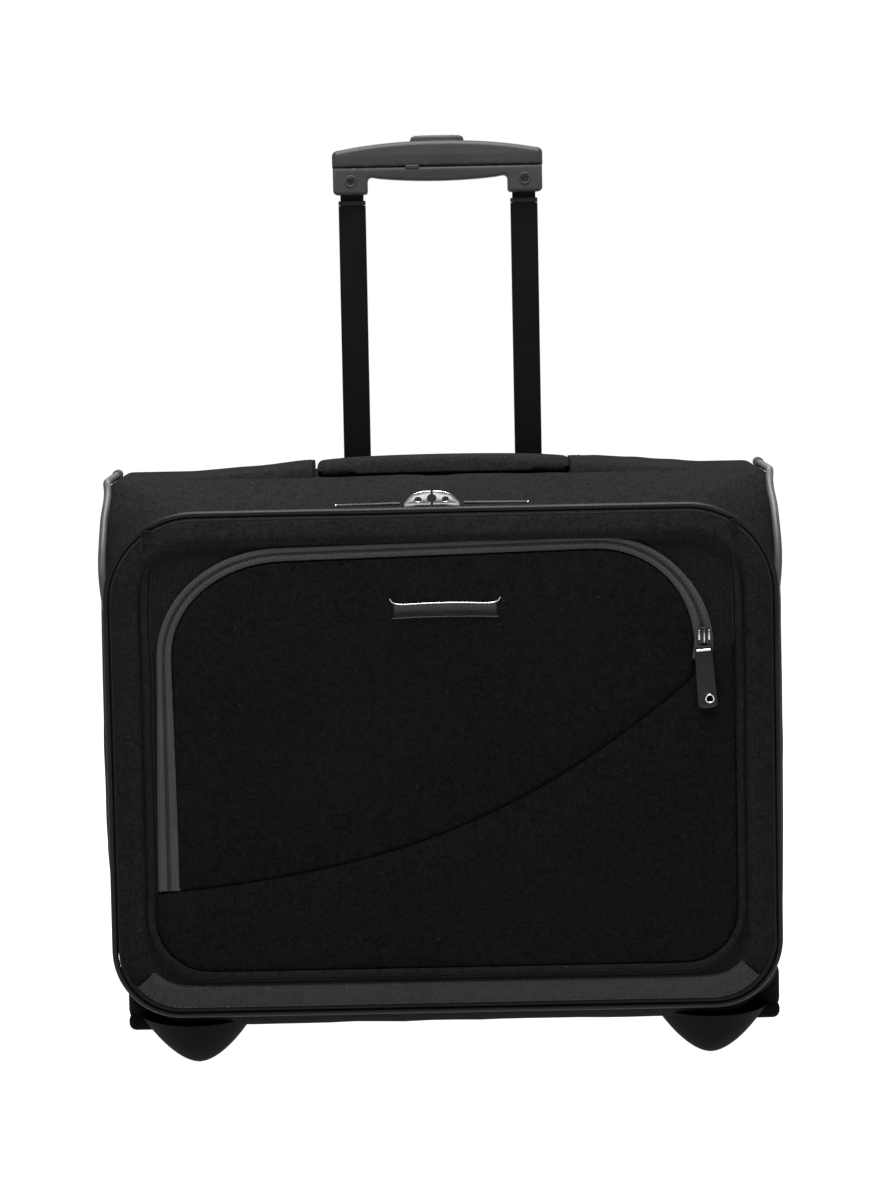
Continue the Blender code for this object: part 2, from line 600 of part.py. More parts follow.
def make_pull_handle():
    """The tubes, their fixings and the grip with its release."""
    stage, inner = [], []
    low, high = (-0.0825, 0.0732, 0.3950), (0.0825, BODY_BACK - GAP, 0.4042)
    bezel = block("tube_bezel", low, high, BLACK_PLASTIC, 0.0012, 1)
    low, high = (-0.0780, 0.0725, 0.0400), (0.0780, BODY_BACK - GAP, 0.0475)
    block("tube_foot", low, high, BLACK_PLASTIC, 0.0008, 1)
    for side, name in ((-1, "left"), (1, "right")):
        x = side * TUBE_X
        box_tube(f"outer_tube_{name}", x, TUBE_Y, OUTER_TUBE, OUTER_TUBE_Z, TUBE_METAL)
        half_w, half_d = MIDDLE_TUBE[0] / 2 + GAP, MIDDLE_TUBE[1] / 2 + GAP
        low = (x - half_w, TUBE_Y - half_d, 0.38)
        boolean(bezel, block(f"bezel_hole_{name}", low, (x + half_w, TUBE_Y + half_d, 0.41)))
        stage.append(box_tube(f"middle_tube_{name}", x, TUBE_Y, MIDDLE_TUBE, MIDDLE_TUBE_Z, TUBE_METAL))
        cap_z = (MIDDLE_TUBE_Z[1] + GAP, MIDDLE_TUBE_Z[1] + GAP + STAGE_CAP_T)
        wall = (MIDDLE_TUBE[0] - INNER_TUBE[0]) / 2 - GAP
        cap = (MIDDLE_TUBE[0], MIDDLE_TUBE[1], wall)
        stage.append(box_tube(f"stage_cap_{name}", x, TUBE_Y, cap, cap_z, BLACK_PLASTIC))
        inner.append(box_tube(f"inner_tube_{name}", x, TUBE_Y, INNER_TUBE, INNER_TUBE_Z, TUBE_METAL))

    front, back = TUBE_Y - GRIP_HALF_D, TUBE_Y + GRIP_HALF_D
    inner_x = GRIP_HALF_W - GRIP_BLOCK_W
    right = [(GRIP_HALF_W, GRIP_SEAM - GAP), (GRIP_HALF_W, GRIP_BOTTOM + 0.002)]
    right.append((GRIP_HALF_W - 0.002, GRIP_BOTTOM))
    right += [(inner_x, GRIP_BOTTOM), (inner_x - 0.004, GRIP_UNDERSIDE)]
    outline = right + [(-x, z) for x, z in reversed(right)]
    lower = to_mesh(plate("grip_lower_shell", [outline], front, back, SATIN_PLASTIC))
    for side, name in ((-1, "left"), (1, "right")):
        x = side * TUBE_X
        half_w, half_d = INNER_TUBE[0] / 2 + GAP, INNER_TUBE[1] / 2 + GAP
        low = (x - half_w, TUBE_Y - half_d, GRIP_BOTTOM - 0.01)
        boolean(lower, block(f"socket_cutter_{name}", low, (x + half_w, TUBE_Y + half_d, GRIP_SEAM + 0.01)))
    channel = block("channel_cutter", (-0.0590, TUBE_Y - 0.0045, 0.6033), (0.0590, TUBE_Y + 0.0092, 0.62))
    boolean(lower, channel)

    crown_r = (GRIP_HALF_W**2 + (GRIP_TOP - GRIP_END_TOP) ** 2) / (2 * (GRIP_TOP - GRIP_END_TOP))
    span = math.degrees(math.asin(GRIP_HALF_W / crown_r))
    crown = arc((0, GRIP_TOP - crown_r), (crown_r, crown_r), 90 - span, 90 + span, 12)
    outline = [(GRIP_HALF_W, GRIP_SEAM), *crown, (-GRIP_HALF_W, GRIP_SEAM)]
    upper = to_mesh(plate("grip_upper_shell", [outline], front, back, SATIN_PLASTIC))
    low = (-BUTTON_HALF_W - GAP, TUBE_Y - BUTTON_HALF_D - GAP, 0.60)
    window = block("button_window", low, (BUTTON_HALF_W + GAP, TUBE_Y + BUTTON_HALF_D + GAP, 0.64))
    boolean(upper, window)
    for shell in (lower, upper):
        rounding = shell.modifiers.new("edges", "BEVEL")
        rounding.width = 0.0028 if shell is lower else 0.0040
        rounding.segments = 2
        rounding.limit_method = "ANGLE"
        rounding.angle_limit = math.radians(50)
        shell.modifiers.move(len(shell.modifiers) - 1, 0)
    inner += [lower, upper]

    button = block(
        "release_button",
        (-BUTTON_HALF_W, TUBE_Y - BUTTON_HALF_D, 0.6155),
        (BUTTON_HALF_W, TUBE_Y + BUTTON_HALF_D, BUTTON_TOP),
        BLACK_PLASTIC,
        0.0020,
    )
    stem = block("button_stem", (-0.0040, ROD_Y - 0.0012, 0.6087), (0.0040, ROD_Y + 0.0012, 0.6200))
    boolean(button, stem, "UNION")
    bend = 0.003
    path = [(TUBE_X, ROD_LOW), (TUBE_X, ROD_HIGH - bend)]
    path += arc((TUBE_X - bend, ROD_HIGH - bend), (bend, bend), 30, 90, 2)
    path += [(-x, z) for x, z in reversed(path)]
    bar = cord("release_bar", [(x, ROD_Y, z) for x, z in path], ROD_R, STEEL)
    turns, per_turn, spring_r, low = 4, 10, 0.0026, 0.6050
    pitch = (0.6150 - low) / turns
    coil = []
    for i in range(turns * per_turn + 1):
        angle = math.tau * i / per_turn
        rise = low + pitch * i / per_turn
        beside, behind = spring_r * math.cos(angle), spring_r * math.sin(angle)
        coil.append((0.012 + beside, TUBE_Y + 0.0052 + behind, rise))
    spring = cord("button_spring", coil, 0.0003, STEEL, resolution=0)
    for side, name in ((-1, "left"), (1, "right")):
        x = side * GRIP_SCREW_X
        head, seat = (x, front - 0.0002, GRIP_SCREW_Z), (x, front + 0.0004, GRIP_SCREW_Z)
        inner.append(rod(f"grip_screw_{name}", head, seat, 0.0030, STEEL))
        before, beyond = (x, front - 0.01, GRIP_SCREW_Z), (x, front + 0.0007, GRIP_SCREW_Z)
        hole = rod(f"screw_cutter_{name}", before, beyond, 0.0034)
        boolean(lower, hole)
    joint_frame("middle_stage_frame", (0, TUBE_Y, MIDDLE_TUBE_Z[0]), stage)
    joint_frame("inner_stage_frame", (0, TUBE_Y, INNER_TUBE_Z[0]), [*inner, spring])
    joint_frame("button_frame", (0, TUBE_Y, BUTTON_TOP), [button, bar])


def make_carry_handle():
    """The padded handle on the top and the patches that hold its ends."""
    low = (-HANDLE_HALF_L, HANDLE_Y - HANDLE_HALF_D, HANDLE_BOTTOM)
    high = (HANDLE_HALF_L, HANDLE_Y + HANDLE_HALF_D, HANDLE_TOP)
    pad = block("carry_handle", low, high, BLACK_FABRIC, bevel=0.0065, segments=3)
    joint_frame("carry_handle_frame", (0, HANDLE_Y, HANDLE_BOTTOM), [pad])
    for side, name in ((-1, "left"), (1, "right")):
        low = BODY_TOP + GAP
        outline = [(ANCHOR_IN, low), (ANCHOR_OUT, low), (ANCHOR_OUT, ANCHOR_HEM), (ANCHOR_IN, ANCHOR_TOP)]
        outline = [(side * x, z) for x, z in outline]
        plate(f"handle_anchor_{name}", [outline], ANCHOR_FRONT, ANCHOR_BACK, BLACK_FABRIC)


def make_housing(side, name):
    """A moulded corner with the wheel's well in it, running forward as a rounded skid."""
    low = (HOUSING_X[0], HOUSING_WHEEL_FRONT, HOUSING_LOW)
    high = (HOUSING_X[1], HOUSING_BACK, HOUSING_TOP)
    housing = block(f"wheel_housing_{name}", *mirrored(low, high, side), BLACK_PLASTIC, bevel=0.0060)
    low = (HOUSING_X[0], HOUSING_FRONT, FLANGE_LOW)
    high = (HOUSING_X[1] - 0.0005, HOUSING_WHEEL_FRONT + 0.012, FLANGE_TOP)
    flange = block(f"flange_{name}", *mirrored(low, high, side), bevel=0.0050)
    boolean(housing, flange, "UNION")

    skid = ellipsoid(f"skid_{name}", SKID_RADII, (side * WHEEL_X, SKID_Y, FLANGE_TOP), 24)
    keep = block(f"skid_limit_{name}", (-0.3, -0.1, 0.0), (0.3, 0.1, FLANGE_TOP))
    boolean(skid, keep, "INTERSECT")
    boolean(housing, skid, "UNION")
    hollow_radii = (SKID_RADII[0] - 0.003, SKID_RADII[1] - 0.008, SKID_RADII[2] - 0.005)
    middle = (side * WHEEL_X, SKID_Y - 0.002, FLANGE_TOP + 0.0004)
    hollow = ellipsoid(f"skid_hollow_{name}", hollow_radii, middle, 20)
    boolean(housing, hollow)

    x_in, x_out = WHEEL_X - WELL_HALF_W, WHEEL_X + WELL_HALF_W
    near, far = (side * x_in, WHEEL_Y, WHEEL_R), (side * x_out, WHEEL_Y, WHEEL_R)
    well = rod(f"well_{name}", near, far, WELL_R, sides=32)
    boolean(housing, well)
    low = (x_out + 0.003, HOUSING_WHEEL_FRONT + 0.004, 0.0400)
    high = (HOUSING_X[1] - 0.003, HOUSING_BACK - 0.004, HOUSING_TOP + 0.01)
    boolean(housing, block(f"outer_pocket_{name}", *mirrored(low, high, side)))
    shaft = (HOUSING_X[0] + 0.002, WHEEL_Y, WHEEL_R), (HOUSING_X[0] + 0.048, WHEEL_Y, WHEEL_R)
    shaft = [(side * x, y, z) for x, y, z in shaft]
    rod(f"axle_{name}", *shaft, AXLE_R, STEEL)
    bore = [(p[0] + side * d, p[1], p[2]) for p, d in zip(shaft, (-0.004, 0.0003))]
    boolean(housing, rod(f"axle_bore_{name}", *bore, AXLE_R + GAP))


def ellipsoid(name, radii, centre, segments):
    """A scaled sphere as a cutter or a tool for joining."""
    bm = bmesh.new()
    bmesh.ops.create_uvsphere(bm, u_segments=segments, v_segments=segments // 2, radius=1.0)
    bmesh.ops.scale(bm, vec=radii, verts=bm.verts)
    made = place(name, mesh_from(name, bm))
    made.location = centre
    return made


def make_wheel(side, name):
    """Tyre, hub and bush, which turn together on a fixed axle."""
    centre = (side * WHEEL_X, WHEEL_Y, WHEEL_R)
    half = WHEEL_W / 2
    tread = [(HUB_R + GAP, -half + 0.002), (WHEEL_R - 0.003, -half), (WHEEL_R, -half + 0.004)]
    tread += [(r, -x) for r, x in reversed(tread)]
    tyre = turned(f"tyre_{name}", tread, centre, TYRE_RUBBER)
    rim = [(BUSH_R + GAP, -half), (0.0100, -half), (0.0110, -0.004), (HUB_R - 0.004, -0.004)]
    rim += [(HUB_R - 0.003, -half + 0.002), (HUB_R, -half + 0.002)]
    rim += [(r, -x) for r, x in reversed(rim)]
    hub = turned(f"wheel_hub_{name}", rim, centre, SATIN_PLASTIC)
    sleeve = [(AXLE_R + 0.0001, -half - 0.001), (BUSH_R, -half - 0.001)]
    sleeve += [(r, -x) for r, x in reversed(sleeve)]
    bush = turned(f"wheel_bush_{name}", sleeve, centre, STEEL)
    joint_frame(f"wheel_{name}_frame", centre, [tyre, hub, bush])


def make_inside():
    """The stiff boards and the padded divider."""
    low = (-BOARD_HALF_W, BOARD_Y, HOUSING_TOP + 0.0020)
    block("back_board", low, (BOARD_HALF_W, BOARD_Y + BOARD_T, 0.3860), LINING)
    inner = HOUSING_X[0] - 0.002
    low = (-inner, BODY_FRONT + 0.002, BODY_BOTTOM + BODY_WALL + GAP)
    block("base_board", low, (inner, BOARD_Y - 0.0005, BODY_BOTTOM + BODY_WALL + 0.0024), BOARD)
    low = (-DIVIDER_HALF_W, DIVIDER_Y, 0.0720)
    high = (DIVIDER_HALF_W, DIVIDER_Y + DIVIDER_T, DIVIDER_TOP)
    block("laptop_divider", low, high, LINING, bevel=0.0020)
    y0, y1, z = DIVIDER_Y + DIVIDER_T / 2, BOARD_Y - GAP, DIVIDER_TOP + GAP
    block("divider_strap", (-0.0190, y0 - 0.002, z), (0.0190, y1, z + 0.0016), BLACK_FABRIC)


def main():
    """Builds the whole case."""
    gusset_front = make_body()
    tape = make_main_zip(gusset_front)
    make_sliders()
    make_lid(tape)
    make_pocket_slider()
    make_pull_handle()
    make_carry_handle()
    for side, name in ((-1, "left"), (1, "right")):
        make_housing(side, name)
        make_wheel(side, name)
    make_inside()


for existing in list(bpy.data.objects):
    bpy.data.objects.remove(existing)
PARTS = collection("rolling_flight_case")
CUTTERS = collection("cutters")
main()
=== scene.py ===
"""Visual model of a soft-sided rolling flight case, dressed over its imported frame.

Metres, +Z up, the front faces -Y. Each sub-assembly is a class that builds and dresses its own pieces.
"""

import logging
import math
from dataclasses import dataclass
from enum import Enum
from typing import Any, Callable, ClassVar, Sequence

import bmesh
import bpy
import numpy as np
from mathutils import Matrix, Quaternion, Vector


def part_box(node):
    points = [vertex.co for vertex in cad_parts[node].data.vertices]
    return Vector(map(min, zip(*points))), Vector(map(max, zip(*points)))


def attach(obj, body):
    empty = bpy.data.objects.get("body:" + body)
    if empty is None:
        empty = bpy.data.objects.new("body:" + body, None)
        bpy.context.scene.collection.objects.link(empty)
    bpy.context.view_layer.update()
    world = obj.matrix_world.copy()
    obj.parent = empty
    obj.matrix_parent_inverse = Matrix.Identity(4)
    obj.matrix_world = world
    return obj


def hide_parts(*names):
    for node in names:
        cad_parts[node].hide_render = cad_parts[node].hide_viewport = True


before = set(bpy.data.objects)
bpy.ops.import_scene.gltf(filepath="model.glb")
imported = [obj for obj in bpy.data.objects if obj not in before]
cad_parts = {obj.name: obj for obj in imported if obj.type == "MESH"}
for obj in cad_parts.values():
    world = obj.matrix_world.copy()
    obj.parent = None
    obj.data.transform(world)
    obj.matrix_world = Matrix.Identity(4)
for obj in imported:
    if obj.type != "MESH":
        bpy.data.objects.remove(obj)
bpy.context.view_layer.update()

LOG = logging.getLogger("flight_case")
# Room left between two pieces that face each other, and the lid's corner radii.
GAP = 0.0003
LID_CORNER_TOP, LID_CORNER_BOTTOM = 0.057, 0.042
SIDES = ((-1, "left"), (1, "right"))
TURN = math.tau

Colour = tuple[float, float, float]
Flat = list[tuple[float, float]]
Curve = Callable[[np.ndarray], np.ndarray]


# ---------------------------------------------------------------- finishes


class Signal:
    """A shader socket that Python expressions combine through Math nodes."""

    def __init__(self, canvas: "Canvas", socket: bpy.types.NodeSocket) -> None:
        """Keeps the socket and the canvas that it is on."""
        self.canvas = canvas
        self.socket = socket

    def _math(self, operation: str, *others: "Signal | float", flipped: bool = False) -> "Signal":
        """A Math node on this and the others, in the other order if flipped."""
        values = (*others, self) if flipped else (self, *others)
        return self.canvas.node("ShaderNodeMath", {"operation": operation}, dict(enumerate(values)))

    def __add__(self, other: "Signal | float") -> "Signal":
        """Sum."""
        return self._math("ADD", other)

    __radd__ = __add__

    def __mul__(self, other: "Signal | float") -> "Signal":
        """Product."""
        return self._math("MULTIPLY", other)

    __rmul__ = __mul__

    def __sub__(self, other: "Signal | float") -> "Signal":
        """Difference."""
        return self._math("SUBTRACT", other)

    def __rsub__(self, other: "Signal | float") -> "Signal":
        """Difference the other way round."""
        return self._math("SUBTRACT", other, flipped=True)

    def __pow__(self, other: "Signal | float") -> "Signal":
        """Power."""
        return self._math("POWER", other)

    def __abs__(self) -> "Signal":
        """Size without its sign."""
        return self._math("ABSOLUTE")

    def sine(self) -> "Signal":
        """Sine, in radians."""
        return self._math("SINE")

    def step(self, low: float, high: float) -> "Signal":
        """A smooth 0 to 1 between two values."""
        return self.canvas.node(
            "ShaderNodeMapRange",
            {"interpolation_type": "SMOOTHSTEP"},
            {"Value": self, "From Min": low, "From Max": high},
        )


class Canvas:
    """The node tree of one material, with its Principled shader."""

    def __init__(self, name: str) -> None:
        """Starts a material of that name."""
        self.material = bpy.data.materials.new(name)
        self.material.use_nodes = True
        self.tree = self.material.node_tree
        self.shader = self.tree.nodes["Principled BSDF"]

    def feed(self, socket: bpy.types.NodeSocket, value: Any) -> None:
        """Links a signal to the socket, or sets a plain value on it."""
        if isinstance(value, Signal):
            self.tree.links.new(value.socket, socket)
        else:
            socket.default_value = value

    def node(
        self, kind: str, settings: dict | None = None, inputs: dict | None = None, output: int | str = 0
    ) -> Signal:
        """Adds a node.

        Args:
            kind: the node's type.
            settings: its properties, set first.
            inputs: the values or signals of its sockets, by name or number.
            output: the socket that is wanted.

        Returns:
            That output as a signal.
        """
        made = self.tree.nodes.new(kind)
        for key, value in (settings or {}).items():
            setattr(made, key, value)
        for key, value in (inputs or {}).items():
            self.feed(made.inputs[key], value)
        return Signal(self, made.outputs[output])

    def noise(self, scale: float, detail: float = 3.0, where: Signal | None = None) -> Signal:
        """Noise on the object's own coordinates, about 0.5 on average."""
        inputs = {"Vector": where or self.place(), "Scale": scale, "Detail": detail}
        return self.node("ShaderNodeTexNoise", {}, inputs, "Fac")

    def place(self, output: str = "Object") -> Signal:
        """The object coordinate, or another output of the same node."""
        return self.node("ShaderNodeTexCoord", {}, {}, output)

    def axes(self, vector: Signal) -> tuple[Signal, Signal, Signal]:
        """The three parts of a vector."""
        split = self.node("ShaderNodeSeparateXYZ", {}, {0: vector}).socket.node
        return tuple(Signal(self, socket) for socket in split.outputs)

    def mix(self, factor: Signal | float, first: Any, second: Any) -> Signal:
        """A colour between two, each a signal or a plain colour."""
        pair = [c if isinstance(c, Signal) else (*c, 1.0) for c in (first, second)]
        inputs = {0: factor, 6: pair[0], 7: pair[1]}
        return self.node("ShaderNodeMix", {"data_type": "RGBA"}, inputs, 2)

    def bump(self, height: Signal, depth: float, strength: float = 1.0) -> None:
        """Relief of that depth in metres on the shader's normal."""
        inputs = {"Height": height, "Distance": depth, "Strength": strength}
        self.feed(self.shader.inputs["Normal"], self.node("ShaderNodeBump", {}, inputs))

    def set(self, **values: Any) -> None:
        """Feeds shader sockets, named with underscores for spaces."""
        for key, value in values.items():
            value = (*value, 1.0) if isinstance(value, tuple) and len(value) == 3 else value
            self.feed(self.shader.inputs[key.replace("_", " ")], value)


@dataclass(frozen=True)
class Finish:
    """What all finishes have: a name, the record's slot, a colour and a roughness."""

    name: str
    slot: str
    colour: Colour
    roughness: float = 0.6

    def material(self) -> bpy.types.Material:
        """The finish's material, made once."""
        found = bpy.data.materials.get(self.name)
        if found:
            return found
        canvas = Canvas(self.name)
        self.paint(canvas)
        return canvas.material

    def shade(self, amount: float) -> Colour:
        """The colour, lighter or darker by a factor."""
        return tuple(min(1.0, part * amount) for part in self.colour)

    def paint(self, canvas: Canvas) -> None:
        """Builds the nodes."""
        raise NotImplementedError


@dataclass(frozen=True)
class WovenCloth(Finish):
    """Plain-woven polyester: over-and-under threads, slubs, lint and a soft fuzz."""

    thread: float = 0.00085
    relief: float = 0.00016
    fuzz: float = 0.012
    mottle: float = 1.4

    def paint(self, canvas: Canvas) -> None:
        """Threads run on whichever plane the surface faces."""
        waves = [(axis * (math.pi / self.thread)).sine() for axis in canvas.axes(canvas.place())]
        faces = [abs(axis) for axis in canvas.axes(canvas.place("Normal"))]
        weave = (
            waves[1] * waves[2] * faces[0] + waves[0] * waves[2] * faces[1] + waves[0] * waves[1] * faces[2]
        )
        fibre = canvas.noise(520.0, 4.0)
        slub = canvas.noise(170.0, 3.0)
        cloud = canvas.noise(9.0, 3.0)
        lint = canvas.noise(260.0, 1.0).step(0.76, 0.80)
        worn = (
            (cloud - 0.5) * 0.3 + (slub - 0.5) * self.mottle * 0.4 + (fibre - 0.5) * self.mottle + weave * 0.16 + 0.5
        )
        tint = canvas.mix(worn.step(0.0, 1.0), self.shade(0.52), self.shade(1.55))
        tint = canvas.mix(lint * 0.5, tint, self.shade(3.5))
        canvas.set(Base_Color=tint, Roughness=0.80 + worn * 0.15)
        canvas.set(Specular_IOR_Level=0.015, Sheen_Weight=self.fuzz, Sheen_Roughness=0.45)
        canvas.set(Sheen_Tint=(0.85, 0.85, 0.88))
        canvas.bump(weave * 0.5 + fibre * 0.8 + slub * 0.8, self.relief, 0.8)


@dataclass(frozen=True)
class RibbedTape(Finish):
    """Zip tape and webbing: cords that run along the piece's own length, with a herringbone between."""

    rib: float = 0.0011

    def paint(self, canvas: Canvas) -> None:
        """Reads the piece's UV map, in metres: U along, V across."""
        along, across, _ = canvas.axes(canvas.place("UV"))
        cords = (across * (TURN / self.rib)).sine()
        picks = (along * (TURN / (self.rib * 0.6)) + abs(cords) * 2.0).sine()
        fibre = canvas.noise(1100.0, 3.0)
        cloud = canvas.noise(22.0, 2.0)
        body = cords * 0.20 + picks * 0.10 + (fibre - 0.5) * 0.6 + (cloud - 0.5) * 0.4 + 0.5
        tint = canvas.mix(body.step(0.0, 1.0), self.shade(0.55), self.shade(1.40))
        canvas.set(Base_Color=tint, Roughness=0.72 + body * 0.16, Specular_IOR_Level=0.04)
        canvas.set(Sheen_Weight=0.05, Sheen_Roughness=0.5)
        canvas.bump(cords * 0.6 + picks * 0.35 + fibre * 0.4, 0.00018, 0.9)


@dataclass(frozen=True)
class GlossCord(Finish):
    """Coated piping: smooth vinyl with a fine grain, rubbed duller in places."""

    coat: float = 0.12
    shine: float = 0.35

    def paint(self, canvas: Canvas) -> None:
        """Rubbed patches vary the gloss."""
        grain = canvas.noise(1300.0, 3.0)
        rubbed = canvas.noise(28.0, 3.0)
        tint = canvas.mix((rubbed + (grain - 0.5) * 0.4).step(0.35, 0.75), self.shade(0.8), self.shade(1.5))
        canvas.set(Base_Color=tint, Roughness=self.roughness - 0.08 + rubbed * 0.22)
        canvas.set(Coat_Weight=self.coat, Coat_Roughness=0.22, Specular_IOR_Level=self.shine)
        canvas.bump(grain + rubbed * 0.3, 0.00005, 0.5)


@dataclass(frozen=True)
class MouldedPlastic(Finish):
    """Injection-moulded plastic with a spark-eroded grain, scuffed on its edges."""

    grain: float = 1500.0
    relief: float = 0.00006
    shine: float = 0.25

    def paint(self, canvas: Canvas) -> None:
        """Edges are found from how sharply the surface bends."""
        fine = canvas.noise(self.grain, 2.0)
        cloud = canvas.noise(17.0, 4.0)
        edge = canvas.node("ShaderNodeNewGeometry", {}, {}, "Pointiness").step(0.515, 0.60)
        scuff = canvas.noise(210.0, 5.0).step(0.52, 0.70) * edge
        tint = canvas.mix(cloud.step(0.3, 0.7), self.shade(0.85), self.shade(1.15))
        tint = canvas.mix(scuff * 0.6, tint, self.shade(2.6))
        gloss = self.roughness + (cloud - 0.5) * 0.16 + (fine - 0.5) * 0.10 + scuff * 0.15
        canvas.set(Base_Color=tint, Roughness=gloss, Specular_IOR_Level=self.shine)
        canvas.bump(fine + cloud * 0.2, self.relief, 0.7)


@dataclass(frozen=True)
class Metal(Finish):
    """Metal or a metallic coat, with drawn lines along one axis and small rubs."""

    metallic: float = 1.0
    drawn: tuple[float, float, float] = (2200.0, 2200.0, 60.0)

    def paint(self, canvas: Canvas) -> None:
        """The drawn lines are noise stretched along the axis with the smallest scale."""
        stretch = canvas.node("ShaderNodeMapping", {}, {"Vector": canvas.place(), "Scale": self.drawn})
        lines = canvas.noise(1.0, 3.0, stretch)
        rub = canvas.noise(55.0, 5.0)
        body = (lines - 0.5) * 0.5 + (rub - 0.5) * 0.8 + 0.5
        tint = canvas.mix(body.step(0.1, 0.9), self.shade(0.82), self.shade(1.15))
        canvas.set(Base_Color=tint, Roughness=self.roughness - 0.06 + body * 0.14, Metallic=self.metallic)
        canvas.set(Specular_IOR_Level=0.5 if self.metallic else 0.06)
        canvas.bump(lines + rub * 0.3, 0.00003, 0.5)


@dataclass(frozen=True)
class Rubber(Finish):
    """Tyre rubber: matt, with floor dust on the tread."""

    def paint(self, canvas: Canvas) -> None:
        """Dust gathers in soft patches."""
        fine = canvas.noise(700.0, 3.0)
        dust = canvas.noise(60.0, 4.0).step(0.48, 0.72)
        tint = canvas.mix(dust * 0.5, self.colour, self.shade(3.2))
        canvas.set(Base_Color=tint, Roughness=self.roughness + dust * 0.12, Specular_IOR_Level=0.3)
        canvas.bump(fine + dust * 0.4, 0.00012, 0.8)


class Dress(Enum):
    """The case's finishes."""

    SHELL = WovenCloth("shell_cloth", "black_fabric", (0.0082, 0.0077, 0.0075))
    # The pocket cloth is the shell cloth made darker, with less sheen: painted shade for the front-facing pocket
    # panels, which get less light than the top.
    POCKET_PAINTED_SHADE = WovenCloth("pocket_cloth_painted_shade", "black_fabric", (0.0047, 0.0046, 0.0045), fuzz=0.005)
    ACCENT = WovenCloth("accent_cloth", "grey_fabric", (0.0262, 0.0257, 0.0266), thread=0.0010, mottle=0.6)
    LINING = WovenCloth("lining_cloth", "lining", (0.060, 0.060, 0.066), thread=0.0007, fuzz=0.05)
    # The handle cloth is the shell cloth made lighter, with more sheen: painted light on the handle, whose front
    # faces down into shade.
    HANDLE_PAINTED_LIGHT = WovenCloth("handle_cloth_painted_light", "black_fabric", (0.0095, 0.0092, 0.0090), fuzz=0.015)
    GREY_TAPE = RibbedTape("pocket_zip_tape_weave", "grey_fabric", (0.0435, 0.0430, 0.0445))
    # Black zip tape in its own colour, made darker still so that its lines read as dark crevices, which is painted
    # shade; the same finish dresses the painted shadow strands by the welt and the piping.
    BLACK_TAPE_AND_SHADOW = RibbedTape("main_zip_tape_and_shadow_weave", "zip_black", (0.006, 0.006, 0.006), rib=0.0008)
    WEBBING = RibbedTape("strap_webbing", "black_fabric", (0.016, 0.016, 0.016), rib=0.0016)
    BLACK_CORD = GlossCord("lid_piping_vinyl", "black_piping", (0.0030, 0.0030, 0.0031), 0.46, coat=0.02,
                           shine=0.16)
    GREY_CORD = GlossCord("side_piping_vinyl", "grey_piping", (0.055, 0.056, 0.059), 0.40, coat=0.10,
                          shine=0.20)
    BLACK_COIL = MouldedPlastic("zip_coil_black", "zip_black", (0.004, 0.004, 0.004), 0.50)
    GREY_COIL = MouldedPlastic("zip_coil_grey", "grey_fabric", (0.010, 0.010, 0.010), 0.50)
    THREAD = GlossCord("sewing_thread", "black_fabric", (0.012, 0.012, 0.012), 0.70, coat=0.0, shine=0.08)
    GREY_THREAD = GlossCord("grey_sewing_thread", "grey_fabric", (0.050, 0.049, 0.050), 0.70, coat=0.0,
                            shine=0.1)
    HOUSING = MouldedPlastic("housing_plastic", "black_plastic", (0.0030, 0.0030, 0.0031), 0.74, grain=900.0,
                             shine=0.03)
    TAG = MouldedPlastic("tag_plastic", "black_plastic", (0.0050, 0.0050, 0.0052), 0.42)
    SATIN = MouldedPlastic("grip_plastic", "satin_plastic", (0.0240, 0.0240, 0.0245), 0.42, relief=0.00003,
                           shine=0.16)
    BUTTON = MouldedPlastic("button_plastic", "black_plastic", (0.030, 0.030, 0.0306), 0.42, shine=0.16)
    TUBE = Metal("tube_coat", "tube_metal", (0.0030, 0.0030, 0.0031), 0.42, metallic=0.0)
    BRIGHT = Metal("bright_plating", "bright_metal", (0.62, 0.62, 0.64), 0.20, drawn=(700.0, 700.0, 700.0))
    SMOKED = Metal("smoked_plating", "bright_metal", (0.014, 0.014, 0.015), 0.26, metallic=0.5)
    STEEL = Metal("plain_steel", "steel", (0.40, 0.40, 0.41), 0.34, drawn=(300.0, 1800.0, 1800.0))
    DARK_STEEL = Metal("blackened_steel", "steel", (0.035, 0.035, 0.036), 0.38)
    TYRE = Rubber("tyre_rubber_compound", "tyre_rubber", (0.010, 0.010, 0.010), 0.74)
    BOARD = MouldedPlastic("fibre_board", "board", (0.030, 0.030, 0.032), 0.7, grain=420.0, relief=0.0002)

    def material(self) -> bpy.types.Material:
        """The finish's material."""
        return self.value.material()


# ---------------------------------------------------------------- shapes


def smooth(low: float, high: float, value: np.ndarray | float) -> np.ndarray:
    """A smooth 0 to 1 between two values."""
    share = np.clip((value - low) / (high - low), 0.0, 1.0)
    return share * share * (3 - 2 * share)


def ripple(a: np.ndarray, b: np.ndarray, size: float, seed: int) -> np.ndarray:
    """Soft uneven waviness between about -1 and 1, the same on each run.

    Args:
        a: one coordinate of each point.
        b: the other coordinate.
        size: about how wide a wave is.
        seed: which pattern.

    Returns:
        The height at each point.
    """
    draw = np.random.default_rng(seed)
    total = np.zeros_like(a, dtype=float)
    for _ in range(7):
        angle, phase = draw.uniform(0, TURN, 2)
        pace = TURN / size * draw.uniform(0.6, 1.7)
        total += np.sin(pace * (a * math.cos(angle) + b * math.sin(angle)) + phase)
    return total / 4.0


def arc(centre: Sequence[float], radii: Sequence[float], start: float, end: float, steps: int) -> Flat:
    """Points on an ellipse's arc, in degrees from the first axis towards the second."""
    turns = [math.radians(start + (end - start) * i / steps) for i in range(steps + 1)]
    return [(centre[0] + radii[0] * math.cos(t), centre[1] + radii[1] * math.sin(t)) for t in turns]


